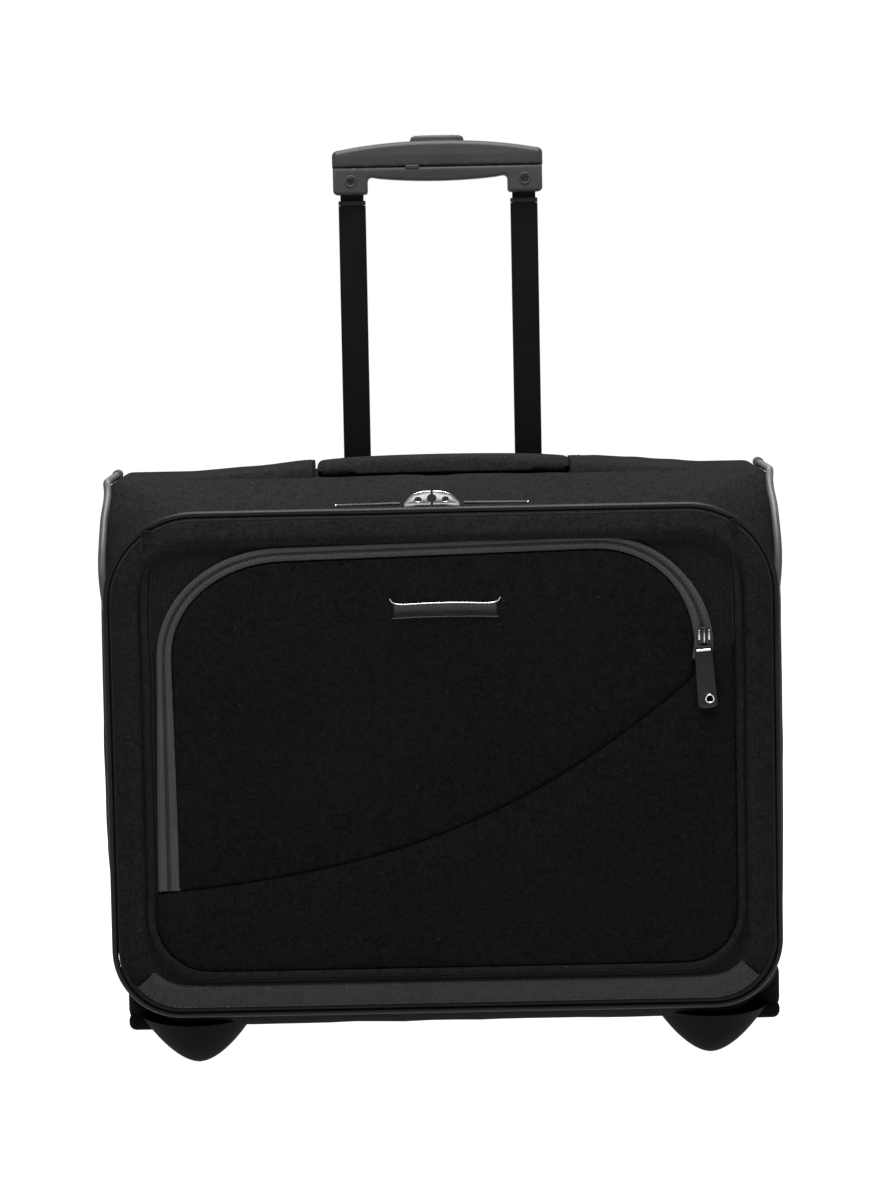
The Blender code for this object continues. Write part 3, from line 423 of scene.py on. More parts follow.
def rounded(half: float, low: float, high: float, top: float, bottom: float, steps: int = 10) -> Flat:
    """A closed outline with rounded corners, counter-clockwise from the lower right corner."""
    points: Flat = []
    for x, z, radius, start in (
        (half - bottom, low + bottom, bottom, 270),
        (half - top, high - top, top, 0),
        (top - half, high - top, top, 90),
        (bottom - half, low + bottom, bottom, 180),
    ):
        points += arc((x, z), (radius, radius), start, start + 90, steps)
    return points


def resample(points: Sequence[Sequence[float]], step: float, closed: bool = False) -> np.ndarray:
    """The same path with points at an even step."""
    path = np.array(points, dtype=float)
    if closed:
        path = np.vstack([path, path[:1]])
    lengths = np.concatenate([[0.0], np.cumsum(np.linalg.norm(np.diff(path, axis=0), axis=1))])
    count = max(3, int(round(lengths[-1] / step)))
    at = np.linspace(0, lengths[-1], count + 1)
    made = np.column_stack([np.interp(at, lengths, path[:, k]) for k in range(path.shape[1])])
    return made[:-1] if closed else made


def softened(path: np.ndarray, rounds: int, closed: bool = False) -> np.ndarray:
    """A path with its kinks eased out, its ends kept."""
    for _ in range(rounds):
        near = (np.roll(path, 1, axis=0) + np.roll(path, -1, axis=0)) / 2
        eased = 0.5 * path + 0.5 * near
        if not closed:
            eased[0], eased[-1] = path[0], path[-1]
        path = eased
    return path


def finished(name: str, data: bpy.types.Mesh, look: Dress, outward: bool = True) -> bpy.types.Object:
    """An object of the mesh, dressed and smooth-shaded, with its faces turned outwards."""
    if outward:
        bm = bmesh.new()
        bm.from_mesh(data)
        bmesh.ops.remove_doubles(bm, verts=bm.verts, dist=0.000004)
        bmesh.ops.dissolve_degenerate(bm, edges=bm.edges, dist=0.000002)
        bmesh.ops.recalc_face_normals(bm, faces=bm.faces)
        bm.to_mesh(data)
        bm.free()
    data.materials.clear()
    data.materials.append(look.material())
    data.polygons.foreach_set("use_smooth", [True] * len(data.polygons))
    data.set_sharp_from_angle(angle=math.radians(38))
    data.update()
    made = bpy.data.objects.new(name, data)
    bpy.context.scene.collection.objects.link(made)
    return made


def plain_mesh(made: bpy.types.Object) -> bpy.types.Mesh:
    """The evaluated object as a mesh with its place applied; the object itself is removed."""
    bpy.context.view_layer.update()
    graph = bpy.context.evaluated_depsgraph_get()
    data = bpy.data.meshes.new_from_object(made.evaluated_get(graph))
    data.transform(made.matrix_world)
    bpy.data.objects.remove(made)
    return data


def sideways(path: np.ndarray) -> np.ndarray:
    """The unit direction to the left of an (x, z) line at each of its points."""
    run = np.gradient(path, axis=0)
    run /= np.linalg.norm(run, axis=1, keepdims=True)
    return np.stack([-run[:, 1], run[:, 0]], axis=1)


def slab(name: str, outer: np.ndarray, inner: np.ndarray, look: Dress,
         wrap: bool = False) -> bpy.types.Object:
    """A closed solid between two grids of the same shape.

    Args:
        name: the piece's name.
        outer: rows x columns x 3 points of its outer face.
        inner: the same for its inner face.
        look: its finish.
        wrap: the columns run round and meet.

    Returns:
        The piece, with a UV map in metres, U along the columns and V across the rows.
    """
    rows, cols = outer.shape[:2]
    points = np.vstack([outer.reshape(-1, 3), inner.reshape(-1, 3)])
    size = rows * cols
    index = np.arange(size).reshape(rows, cols)
    faces: list[tuple[int, ...]] = []
    spans = cols if wrap else cols - 1
    for i in range(rows - 1):
        for j in range(spans):
            k = (j + 1) % cols
            quad = (index[i, j], index[i + 1, j], index[i + 1, k], index[i, k])
            faces.append(quad)
            faces.append(tuple(v + size for v in reversed(quad)))
    for row in (0, rows - 1):
        for j in range(spans):
            a, b = index[row, j], index[row, (j + 1) % cols]
            faces.append((a, b, b + size, a + size))
    if not wrap:
        for col in (0, cols - 1):
            for i in range(rows - 1):
                a, b = index[i, col], index[i + 1, col]
                faces.append((a, b, b + size, a + size))
    data = bpy.data.meshes.new(name)
    data.from_pydata(points.tolist(), [], [tuple(int(v) for v in f) for f in faces])
    middle = outer[rows // 2]
    along = np.concatenate([[0.0], np.cumsum(np.linalg.norm(np.diff(middle, axis=0), axis=1))])
    cross = outer[:, cols // 2]
    across = np.concatenate([[0.0], np.cumsum(np.linalg.norm(np.diff(cross, axis=0), axis=1))])
    chart = np.stack(np.meshgrid(across, along, indexing="ij")[::-1], axis=-1).reshape(-1, 2)
    chart = np.vstack([chart, chart])
    layer = data.uv_layers.new(name="sewn")
    loops = np.empty(len(data.loops), dtype=int)
    data.loops.foreach_get("vertex_index", loops)
    layer.data.foreach_set("uv", chart[loops].ravel())
    return finished(name, data, look)


def normals_of(grid: np.ndarray, wrap: bool = False) -> np.ndarray:
    """The unit normal at each point of a grid."""
    down = np.gradient(grid, axis=0)
    across = (np.roll(grid, -1, axis=1) - np.roll(grid, 1, axis=1)) if wrap else np.gradient(grid, axis=1)
    found = np.cross(down, across)
    return found / np.maximum(np.linalg.norm(found, axis=2, keepdims=True), 1e-12)


def skin(
    name: str, outer: np.ndarray, thickness: float, look: Dress, inside: Sequence[float], wrap: bool = False
) -> bpy.types.Object:
    """A fabric wall: the outer grid, with an inner one offset towards a point inside."""
    away = normals_of(outer, wrap)
    flip = np.sign(np.sum(away * (outer - np.array(inside)), axis=2, keepdims=True).mean())
    return slab(name, outer, outer - away * flip * thickness, look, wrap)


def columns(low: Curve, high: Curve, left: float, right: float, across: int, up: int) -> np.ndarray:
    """An across x up grid of (x, z) between two height curves, closer together near its ends."""
    share = np.linspace(0, 1, across)
    share = 0.45 * share + 0.55 * (1 - np.cos(math.pi * share)) / 2
    xs = left + (right - left) * share
    bottom, top = low(xs), high(xs)
    rise = np.linspace(0, 1, up)
    rise = 0.6 * rise + 0.4 * (1 - np.cos(math.pi * rise)) / 2
    zs = bottom[:, None] + (top - bottom)[:, None] * rise[None, :]
    return np.stack([np.repeat(xs[:, None], up, axis=1), zs], axis=-1)


def edge_distance(grid: np.ndarray) -> np.ndarray:
    """How far each point of an (x, z) grid is from the grid's border."""
    border = np.vstack([grid[:, 0], grid[-1, 1:], grid[-2::-1, -1], grid[0, -2:0:-1]])
    start, run = border, np.roll(border, -1, axis=0) - border
    square = np.maximum((run * run).sum(axis=1), 1e-12)
    found = np.empty(grid.shape[:2])
    for i, column in enumerate(grid):
        gap = column[:, None, :] - start[None]
        share = np.clip((gap * run[None]).sum(axis=2) / square, 0, 1)
        found[i] = np.linalg.norm(gap - share[..., None] * run[None], axis=2).min(axis=1)
    return found


def rolled(distance: np.ndarray, height: float, radius: float) -> np.ndarray:
    """A rounded edge: 0 at the border, up to the height at that radius in."""
    share = np.clip(distance / radius, 0, 1)
    return height * np.sqrt(1 - (1 - share) ** 2)


def facing_front(grid: np.ndarray, depth: np.ndarray) -> np.ndarray:
    """Points of an (x, z) grid at the given depths."""
    return np.stack([grid[..., 0], depth, grid[..., 1]], axis=-1)


def strand(
    name: str,
    path: np.ndarray,
    look: Dress,
    radius: float | np.ndarray,
    closed: bool = False,
    sides: int = 12,
    squash: tuple[float, float] = (1.0, 1.0),
    up: tuple[float, float, float] = (0.0, -1.0, 0.0),
) -> bpy.types.Object:
    """A round or oval cord along a path.

    Args:
        name: the piece's name.
        path: its centre points.
        look: its finish.
        radius: one radius, or one for each point.
        closed: the path meets itself.
        sides: points round the section.
        squash: the section's size towards `up`, and across it.
        up: a direction that is never along the path.

    Returns:
        The closed piece.
    """
    run = np.roll(path, -1, axis=0) - np.roll(path, 1, axis=0) if closed else np.gradient(path, axis=0)
    run /= np.linalg.norm(run, axis=1, keepdims=True)
    side = np.cross(run, np.array(up))
    side /= np.linalg.norm(side, axis=1, keepdims=True)
    rise = np.cross(side, run)
    size = np.broadcast_to(radius, (len(path),))[:, None]
    rings = []
    for turn in np.linspace(0, TURN, sides, endpoint=False):
        rings.append(path + size * (rise * math.cos(turn) * squash[0] + side * math.sin(turn) * squash[1]))
    grid = np.stack(rings, axis=1)
    count = len(path)
    index = np.arange(count * sides).reshape(count, sides)
    faces = []
    for i in range(count if closed else count - 1):
        for j in range(sides):
            n, m = (i + 1) % count, (j + 1) % sides
            faces.append((index[i, j], index[n, j], index[n, m], index[i, m]))
    if not closed:
        faces += [tuple(index[0]), tuple(index[-1][::-1])]
    data = bpy.data.meshes.new(name)
    data.from_pydata(grid.reshape(-1, 3).tolist(), [], [tuple(int(v) for v in f) for f in faces])
    return finished(name, data, look)


def band(
    name: str, path: np.ndarray, section: Sequence[tuple[float, float]], face: float, look: Dress,
    widths: np.ndarray | float = 1.0,
) -> bpy.types.Object:
    """A shaped tape sewn on the front.

    Args:
        name: the piece's name.
        path: (x, z) points of its centre.
        section: (offset to the left of the way, height off the face) points across it.
        face: the depth it is sewn at.
        look: its finish.
        widths: a factor on the section's offsets, one or for each point.

    Returns:
        The closed tape.
    """
    left = sideways(path)
    factor = np.broadcast_to(widths, (len(path),))
    outer, inner = [], []
    for offset, height in section:
        flat = path + left * (offset * factor)[:, None]
        outer.append(np.stack([flat[:, 0], np.full(len(path), face - height), flat[:, 1]], axis=-1))
        inner.append(np.stack([flat[:, 0], np.full(len(path), face), flat[:, 1]], axis=-1))
    return slab(name, np.array(outer), np.array(inner), look)


def lathe(name: str, profile: Flat, centre: Sequence[float], look: Dress,
          steps: int = 56) -> bpy.types.Object:
    """A closed (radius, offset along X) profile turned about the X axis through a centre."""
    rings = []
    for turn in np.linspace(0, TURN, steps, endpoint=False):
        ring = [(a, r * math.sin(turn), r * math.cos(turn)) for r, a in profile]
        rings.append(np.array(ring) + np.array(centre))
    grid = np.array(rings)
    count, points = grid.shape[:2]
    index = np.arange(count * points).reshape(count, points)
    faces = []
    for i in range(count):
        for j in range(points):
            n, m = (i + 1) % count, (j + 1) % points
            faces.append((int(index[i, j]), int(index[n, j]), int(index[n, m]), int(index[i, m])))
    data = bpy.data.meshes.new(name)
    data.from_pydata(grid.reshape(-1, 3).tolist(), [], faces)
    return finished(name, data, look)


def cut_plate(
    name: str, outlines: Sequence[Flat], span: tuple[float, float], look: Dress,
    edge: float = 0.0003, lying: bool = False,
) -> bpy.types.Object:
    """A flat part cut from sheet, with softened edges.

    Args:
        name: the piece's name.
        outlines: the outline of (x, z) points, or (x, y) where it lies flat; later ones are holes.
        span: where its two faces are, in Y, or in Z where it lies flat.
        look: its finish.
        edge: the radius of its edges.
        lying: it lies flat and doesn't stand across the case.

    Returns:
        The part.
    """
    data = bpy.data.curves.new(name, "CURVE")
    data.dimensions = "2D"
    data.fill_mode = "BOTH"
    data.resolution_u = 1
    data.extrude = (span[1] - span[0]) / 2 - edge
    data.bevel_depth = edge
    data.bevel_resolution = 2
    data.offset = -edge
    for points in outlines:
        spline = data.splines.new("POLY")
        spline.points.add(len(points) - 1)
        for point, (a, b) in zip(spline.points, points):
            point.co = (a, b, 0, 1)
        spline.use_cyclic_u = True
    made = bpy.data.objects.new(name, data)
    bpy.context.scene.collection.objects.link(made)
    middle = sum(span) / 2
    if lying:
        made.location.z = middle
    else:
        made.location.y = middle
        made.rotation_euler.x = math.radians(90)
    return finished(name, plain_mesh(made), look)


def rounded_block(
    name: str, low: Sequence[float], high: Sequence[float], look: Dress, bevel: float = 0.001,
    segments: int = 3
) -> bpy.types.Object:
    """A moulded block between two corners, with rounded edges."""
    bm = bmesh.new()
    bmesh.ops.create_cube(bm, size=1.0)
    size, middle = Vector(high) - Vector(low), (Vector(low) + Vector(high)) / 2
    for vert in bm.verts:
        vert.co = Vector(a * b for a, b in zip(vert.co, size)) + middle
    bmesh.ops.bevel(bm, geom=bm.edges, offset=bevel, segments=segments, profile=0.5, affect="EDGES")
    data = bpy.data.meshes.new(name)
    bm.to_mesh(data)
    bm.free()
    return finished(name, data, look)


def carve(target: bpy.types.Object, tools: Sequence[bpy.types.Object], how: str,
          look: Dress) -> bpy.types.Object:
    """Cuts, joins or intersects an object with others, which are used up.

    Args:
        target: the object that is worked on.
        tools: the others.
        how: DIFFERENCE, UNION or INTERSECT.
        look: the result's finish.

    Returns:
        The new object, under the old name.
    """
    name = target.name
    for tool in tools:
        step = target.modifiers.new(tool.name, "BOOLEAN")
        step.operation = how
        step.object = tool
        step.solver = "EXACT"
    data = plain_mesh(target)
    for tool in tools:
        bpy.data.objects.remove(tool)
    return finished(name, data, look)


# ---------------------------------------------------------------- cloth and repeats


@dataclass
class Stuffing:
    """A short cloth run that fills a pad out, with a cap on how far it may swell."""

    pressure: float = 4.0
    cap: float = 0.0025
    frames: int = 20

    def run(self, data: bpy.types.Mesh, pinned: Sequence[int] = ()) -> np.ndarray:
        """Fills a mesh out.

        Args:
            data: the mesh at rest.
            pinned: its sewn-down points.

        Returns:
            The new places of its points.
        """
        start = np.array([v.co[:] for v in data.vertices])
        made = bpy.data.objects.new("stuffing", data.copy())
        scene = bpy.context.scene
        scene.collection.objects.link(made)
        cloth = made.modifiers.new("cloth", "CLOTH")
        if len(pinned):
            group = made.vertex_groups.new(name="sewn_down")
            group.add([int(i) for i in pinned], 1.0, "REPLACE")
            cloth.settings.vertex_group_mass = group.name
        cloth.settings.use_pressure = True
        cloth.settings.uniform_pressure_force = self.pressure
        cloth.settings.effector_weights.gravity = 0.0
        cloth.settings.quality = 5
        cloth.point_cache.frame_end = self.frames
        for number in range(1, self.frames + 1):
            scene.frame_set(number)
        graph = bpy.context.evaluated_depsgraph_get()
        swollen = made.evaluated_get(graph).to_mesh()
        places = np.array([v.co[:] for v in swollen.vertices])
        bpy.data.objects.remove(made)
        scene.frame_set(1)
        move = places - start
        length = np.linalg.norm(move, axis=1, keepdims=True)
        eased = self.cap * np.tanh(length / self.cap)
        return start + move * eased / np.maximum(length, 1e-9)

    def sheet(self, grid: np.ndarray) -> np.ndarray:
        """Fills out a grid that is sewn down along its border."""
        rows, cols = grid.shape[:2]
        index = np.arange(rows * cols).reshape(rows, cols)
        faces = [
            (int(index[i, j]), int(index[i + 1, j]), int(index[i + 1, j + 1]), int(index[i, j + 1]))
            for i in range(rows - 1)
            for j in range(cols - 1)
        ]
        data = bpy.data.meshes.new("sheet")
        data.from_pydata(grid.reshape(-1, 3).tolist(), [], faces)
        held = np.concatenate([index[:2].ravel(), index[-2:].ravel(), index[:, :2].ravel(),
                               index[:, -2:].ravel()])
        return self.run(data, np.unique(held)).reshape(grid.shape)

    def pad(self, made: bpy.types.Object, voxel: float, look: Dress) -> bpy.types.Object:
        """Remeshes a closed pad evenly, fills it out and subdivides it once."""
        name = made.name
        step = made.modifiers.new("even", "REMESH")
        step.mode = "VOXEL"
        step.voxel_size = voxel
        data = plain_mesh(made)
        places = self.run(data)
        data.vertices.foreach_set("co", places.ravel())
        data.update()
        rough = finished(name + "_rough", data, look, outward=False)
        finer = rough.modifiers.new("finer", "SUBSURF")
        finer.levels = finer.render_levels = 1
        return finished(name, plain_mesh(rough), look)


class PathRepeat:
    """Sets small rounded parts at even steps along paths, with Geometry Nodes."""

    tree: ClassVar[bpy.types.NodeTree | None] = None
    INPUTS: ClassVar[tuple[tuple[str, str], ...]] = (
        ("Spacing", "NodeSocketFloat"),
        ("Part Size", "NodeSocketVector"),
        ("Facing", "NodeSocketVector"),
        ("Lean", "NodeSocketFloat"),
        ("Wander", "NodeSocketFloat"),
        ("Seed", "NodeSocketInt"),
        ("Finish", "NodeSocketMaterial"),
    )

    @classmethod
    def build(cls) -> bpy.types.NodeTree:
        """The node tree, built once."""
        if cls.tree:
            return cls.tree
        tree = bpy.data.node_groups.new("parts_along_paths", "GeometryNodeTree")
        tree.interface.new_socket("Paths", in_out="INPUT", socket_type="NodeSocketGeometry")
        for name, kind in cls.INPUTS:
            tree.interface.new_socket(name, in_out="INPUT", socket_type=kind)
        tree.interface.new_socket("Parts", in_out="OUTPUT", socket_type="NodeSocketGeometry")

        def add(kind: str, settings: dict | None = None, **inputs: Any) -> bpy.types.Node:
            """Adds a node, sets it and links its inputs."""
            made = tree.nodes.new(kind)
            for key, value in (settings or {}).items():
                setattr(made, key, value)
            for key, value in inputs.items():
                socket = made.inputs[key.replace("_", " ")]
                if isinstance(value, bpy.types.NodeSocket):
                    tree.links.new(value, socket)
                else:
                    socket.default_value = value
            return made

        given = add("NodeGroupInput").outputs
        curve = add("GeometryNodeMeshToCurve", Mesh=given["Paths"])
        points = add(
            "GeometryNodeCurveToPoints", {"mode": "LENGTH"}, Curve=curve.outputs[0], Length=given["Spacing"]
        ).outputs
        along = add("FunctionNodeAlignRotationToVector", {"axis": "Z"}, Vector=points["Tangent"])
        faced = add(
            "FunctionNodeAlignRotationToVector",
            {"axis": "X", "pivot_axis": "Z"},
            Rotation=along.outputs[0],
            Vector=given["Facing"],
        )
        lean = add("ShaderNodeCombineXYZ", X=given["Lean"])
        spin = add("FunctionNodeEulerToRotation", Euler=lean.outputs[0])
        turned = add(
            "FunctionNodeRotateRotation",
            {"rotation_space": "LOCAL"},
            Rotation=faced.outputs[0],
            Rotate_By=spin.outputs[0],
        )
        least = add("ShaderNodeMath", {"operation": "SUBTRACT"})
        least.inputs[0].default_value = 1.0
        tree.links.new(given["Wander"], least.inputs[1])
        size = add("FunctionNodeRandomValue", {"data_type": "FLOAT"}, Seed=given["Seed"])
        tree.links.new(least.outputs[0], size.inputs[2])
        size.inputs[3].default_value = 1.0
        grain = add("GeometryNodeMeshUVSphere", Segments=6, Rings=4, Radius=1.0)
        part = add("GeometryNodeTransform", Geometry=grain.outputs[0], Scale=given["Part Size"])
        placed = add(
            "GeometryNodeInstanceOnPoints",
            Points=points["Points"],
            Instance=part.outputs[0],
            Rotation=turned.outputs[0],
            Scale=size.outputs[1],
        )
        solid = add("GeometryNodeRealizeInstances", Geometry=placed.outputs[0])
        soft = add("GeometryNodeSetShadeSmooth", Geometry=solid.outputs[0])
        dressed = add("GeometryNodeSetMaterial", Geometry=soft.outputs[0], Material=given["Finish"])
        tree.links.new(dressed.outputs[0], add("NodeGroupOutput").inputs[0])
        cls.tree = tree
        return tree

    @classmethod
    def along(
        cls, name: str, paths: Sequence[np.ndarray], look: Dress, spacing: float, size: Sequence[float],
        facing: Sequence[float] = (0, -1, 0), lean: float = 0.0, wander: float = 0.12, seed: int = 3,
    ) -> bpy.types.Object:
        """A plain mesh of parts along paths.

        Args:
            name: the piece's name.
            paths: the 3-D paths.
            look: the parts' finish.
            spacing: the step between parts.
            size: half sizes of a part: off the surface, across the path, along it.
            facing: the way off the surface.
            lean: a part's turn in the surface, in radians.
            wander: how much smaller a part may be, as a share.
            seed: which pattern of sizes.

        Returns:
            The piece.
        """
        points, edges = [], []
        for path in paths:
            first = len(points)
            points += [tuple(p) for p in path]
            edges += [(first + i, first + i + 1) for i in range(len(path) - 1)]
        data = bpy.data.meshes.new(name + "_paths")
        data.from_pydata(points, edges, [])
        carrier = bpy.data.objects.new(name + "_paths", data)
        bpy.context.scene.collection.objects.link(carrier)
        step = carrier.modifiers.new("repeat", "NODES")
        step.node_group = cls.build()
        values = (spacing, tuple(size), tuple(facing), lean, wander, seed, look.material())
        sockets = [s for s in step.node_group.interface.items_tree if s.in_out == "INPUT"][1:]
        for socket, value in zip(sockets, values):
            step[socket.identifier] = value
        made = bpy.data.objects.new(name, plain_mesh(carrier))
        bpy.context.scene.collection.objects.link(made)
        return made


SOFT = (Dress.SHELL, Dress.POCKET_PAINTED_SHADE, Dress.ACCENT, Dress.GREY_TAPE, Dress.BLACK_TAPE_AND_SHADOW, Dress.BLACK_CORD,
        Dress.GREY_CORD, Dress.BLACK_COIL, Dress.GREY_COIL, Dress.THREAD, Dress.GREY_THREAD)
SLUMP, SLUMP_REACH = 0.0075, 0.2165


def slump(data: bpy.types.Mesh, body: str) -> None:
    """Lets a soft piece settle outwards on the left, as the stuffed case does.

    Args:
        data: the piece's mesh.
        body: the body it rides on; the case's own fabric stays put near its base.
    """
    places = np.empty(len(data.vertices) * 3)
    data.vertices.foreach_get("co", places)
    places = places.reshape(-1, 3)
    amount = SLUMP * smooth(0.0, SLUMP_REACH, -places[:, 0])
    if body == "case":
        amount *= smooth(0.055, 0.150, places[:, 2])
    places[:, 0] -= amount
    data.vertices.foreach_set("co", places.ravel())
    data.update()


def settle(
    piece: bpy.types.Object, body: str, look: Dress, nodes: Sequence[str] = ()
) -> bpy.types.Object:
    """Rides a piece on its body in place of the CAD nodes it stands for."""
    if look in SOFT and body in ("case", "lid"):
        slump(piece.data, body)
    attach(piece, body)
    if nodes:
        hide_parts(*nodes)
    LOG.info("%s on %s, %d faces", piece.name, body, len(piece.data.polygons))
    return piece


def redress(look: Dress, *nodes: str) -> None:
    """Gives CAD nodes a better material."""
    for node in nodes:
        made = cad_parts[node]
        for place in made.material_slots:
            place.material = look.material()
        LOG.info("%s keeps its CAD shape", node)


# ---------------------------------------------------------------- lid


@dataclass
class Lid:
    """The soft front: its padded face, piping, welt and grey band."""

    corner_top: float = LID_CORNER_TOP
    corner_bottom: float = LID_CORNER_BOTTOM
    roll: float = 0.0046
    welt_x: float = 0.1935
    welt_top: float = 0.3715
    welt_bottom: float = 0.0725
    welt_corner: float = 0.0380
    accent_reach: float = 0.2065
    accent_z: float = 0.0580
    accent_half: float = 0.0084

    def __post_init__(self) -> None:
        """Reads the lid's box."""
        low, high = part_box("lid_panel")
        self.half, self.face, self.back = high[0], low[1], high[1]
        self.low, self.high = low[2], high[2]

    def heights(self, inset: float) -> tuple[Curve, Curve]:
        """The lower and upper height curves of the lid's outline, set in by a distance."""
        def low(x: np.ndarray) -> np.ndarray:
            """Bottom edge."""
            over = np.maximum(np.abs(x) - (self.half - self.corner_bottom), 0)
            radius = self.corner_bottom - inset
            return self.low + self.corner_bottom - np.sqrt(np.maximum(radius**2 - over**2, 0))

        def high(x: np.ndarray) -> np.ndarray:
            """Top edge."""
            over = np.maximum(np.abs(x) - (self.half - self.corner_top), 0)
            radius = self.corner_top - inset
            return self.high - self.corner_top + np.sqrt(np.maximum(radius**2 - over**2, 0))

        return low, high

    def build_face(self) -> None:
        """The padded face: a soft roll between the piping and the welt, and a lining behind it."""
        low, high = self.heights(0.0)
        grid = columns(low, high, -self.half, self.half, 110, 90)
        away = edge_distance(grid)
        x, z = grid[..., 0], grid[..., 1]
        roll = rolled(away, self.roll * 0.6, 0.0045) + self.roll * 0.6 * np.sin(
            math.pi * np.clip((away - 0.002) / 0.0195, 0, 1) ** 1.5
        )
        roll *= (1 - smooth(0.016, 0.022, away)) * smooth(0.062, 0.092, z)
        roll += ripple(x, z, 0.06, 4) * 0.00025 * smooth(0.0, 0.01, away) * (1 - smooth(0.016, 0.022, away))
        top = facing_front(grid, self.face - roll)
        settle(slab("lid_face", top, facing_front(grid, np.full(x.shape, self.back)), Dress.SHELL), "lid",
               Dress.SHELL, ["lid_panel"])
        inner = columns(*self.heights(0.006), -self.half + 0.006, self.half - 0.006, 60, 40)
        back = self.back + 0.0002
        lining = slab(
            "lid_lining",
            facing_front(inner, np.full(inner.shape[:2], back)),
            facing_front(inner, back + 0.00008 + 0.0001 * ripple(inner[..., 0], inner[..., 1], 0.05, 9) ** 2),
            Dress.LINING,
        )
        settle(lining, "lid", Dress.LINING)

    def build_trim(self) -> None:
        """The piping round the edge, the welt, the grey band and their stitches."""
        cord_low, cord_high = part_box("lid_piping")
        radius = (cord_high[1] - cord_low[1]) / 2
        half, middle = cord_high[0] - radius, (cord_low[1] + cord_high[1]) / 2
        out = half - self.half
        outline = rounded(half, self.low - out, self.high + out, self.corner_top + out,
                          self.corner_bottom + out, 24)
        path = resample(outline, 0.003, closed=True)
        path = np.insert(path, 1, middle, axis=1)
        path[:, 1] += 0.0004 * ripple(path[:, 0], path[:, 2], 0.11, 2)
        settle(strand("lid_edge_piping", path, Dress.BLACK_CORD, radius, True, 14), "lid", Dress.BLACK_CORD,
               ["lid_piping"])

        welt_low, welt_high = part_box("lid_welt")
        radius = (welt_high[1] - welt_low[1]) / 2
        turn = arc((self.welt_x - self.welt_corner, self.welt_bottom + self.welt_corner),
                   (self.welt_corner, self.welt_corner), 0, -90, 14)
        flat = [(self.welt_x - 0.004, self.welt_top), (self.welt_x, self.welt_top - 0.045), *turn]
        flat += [(-x, z) for x, z in reversed(flat)]
        path = softened(resample(flat, 0.003), 6)
        path = np.insert(path, 1, (welt_low[1] + welt_high[1]) / 2, axis=1)
        path[:, 0] += 0.0005 * ripple(path[:, 2], path[:, 0], 0.09, 5)
        settle(strand("lid_welt_fold", path, Dress.SHELL, radius, sides=12, squash=(1.0, 1.15)), "lid",
               Dress.SHELL, ["lid_welt"])

        run = np.gradient(path, axis=0)
        run /= np.linalg.norm(run, axis=1, keepdims=True)
        # Two near-black strands, one on each side of the welt, are painted shadow along its fold.
        for name, offset in (("inner", -0.0034), ("outer", 0.0034)):
            line = path + np.column_stack([-run[:, 2], np.zeros(len(run)), run[:, 0]]) * offset
            line[:, 1] = self.face - 0.0004
            settle(strand(f"lid_welt_{name}_seam", line, Dress.BLACK_TAPE_AND_SHADOW, 0.0009, sides=8), "lid",
                   Dress.BLACK_TAPE_AND_SHADOW)
        # A near-black strand just inside the piping is painted shadow along its inner side.
        inset = 0.0020
        edge = resample(rounded(self.half - inset, self.low + inset, self.high - inset,
                                self.corner_top - inset,
                                self.corner_bottom - inset, 24), 0.003, closed=True)
        edge = np.insert(edge, 1, self.face - 0.0014, axis=1)
        settle(strand("lid_edge_painted_shadow", edge, Dress.BLACK_TAPE_AND_SHADOW, 0.0011, True, 8), "lid", Dress.BLACK_TAPE_AND_SHADOW)

        corner = 0.0340
        turn = arc((self.accent_reach - corner, self.accent_z + corner), (corner, corner), -40, -90, 14)
        flat = turn + [(-x, z) for x, z in reversed(turn)]
        centre = resample(flat, 0.003)
        share = np.linspace(-1, 1, 13)
        section = [(self.accent_half * s, 0.0027 * (1 - abs(s) ** 5) + 0.0002) for s in share]
        accent = band("accent_sewn_band", centre, section, self.face - GAP, Dress.ACCENT)
        settle(accent, "lid", Dress.ACCENT, ["accent_band"])
        lines = []
        for offset in (-0.0064, 0.0064):
            edge = centre + sideways(centre) * offset
            lines.append(np.insert(edge, 1, self.face - GAP - 0.0022, axis=1))
        stitches = PathRepeat.along("accent_stitches", lines, Dress.GREY_THREAD, 0.0034,
                                    (0.00025, 0.00025, 0.0013))
        settle(stitches, "lid", Dress.GREY_THREAD)

    def build(self) -> None:
        """All of the lid."""
        self.build_face()
        self.build_trim()


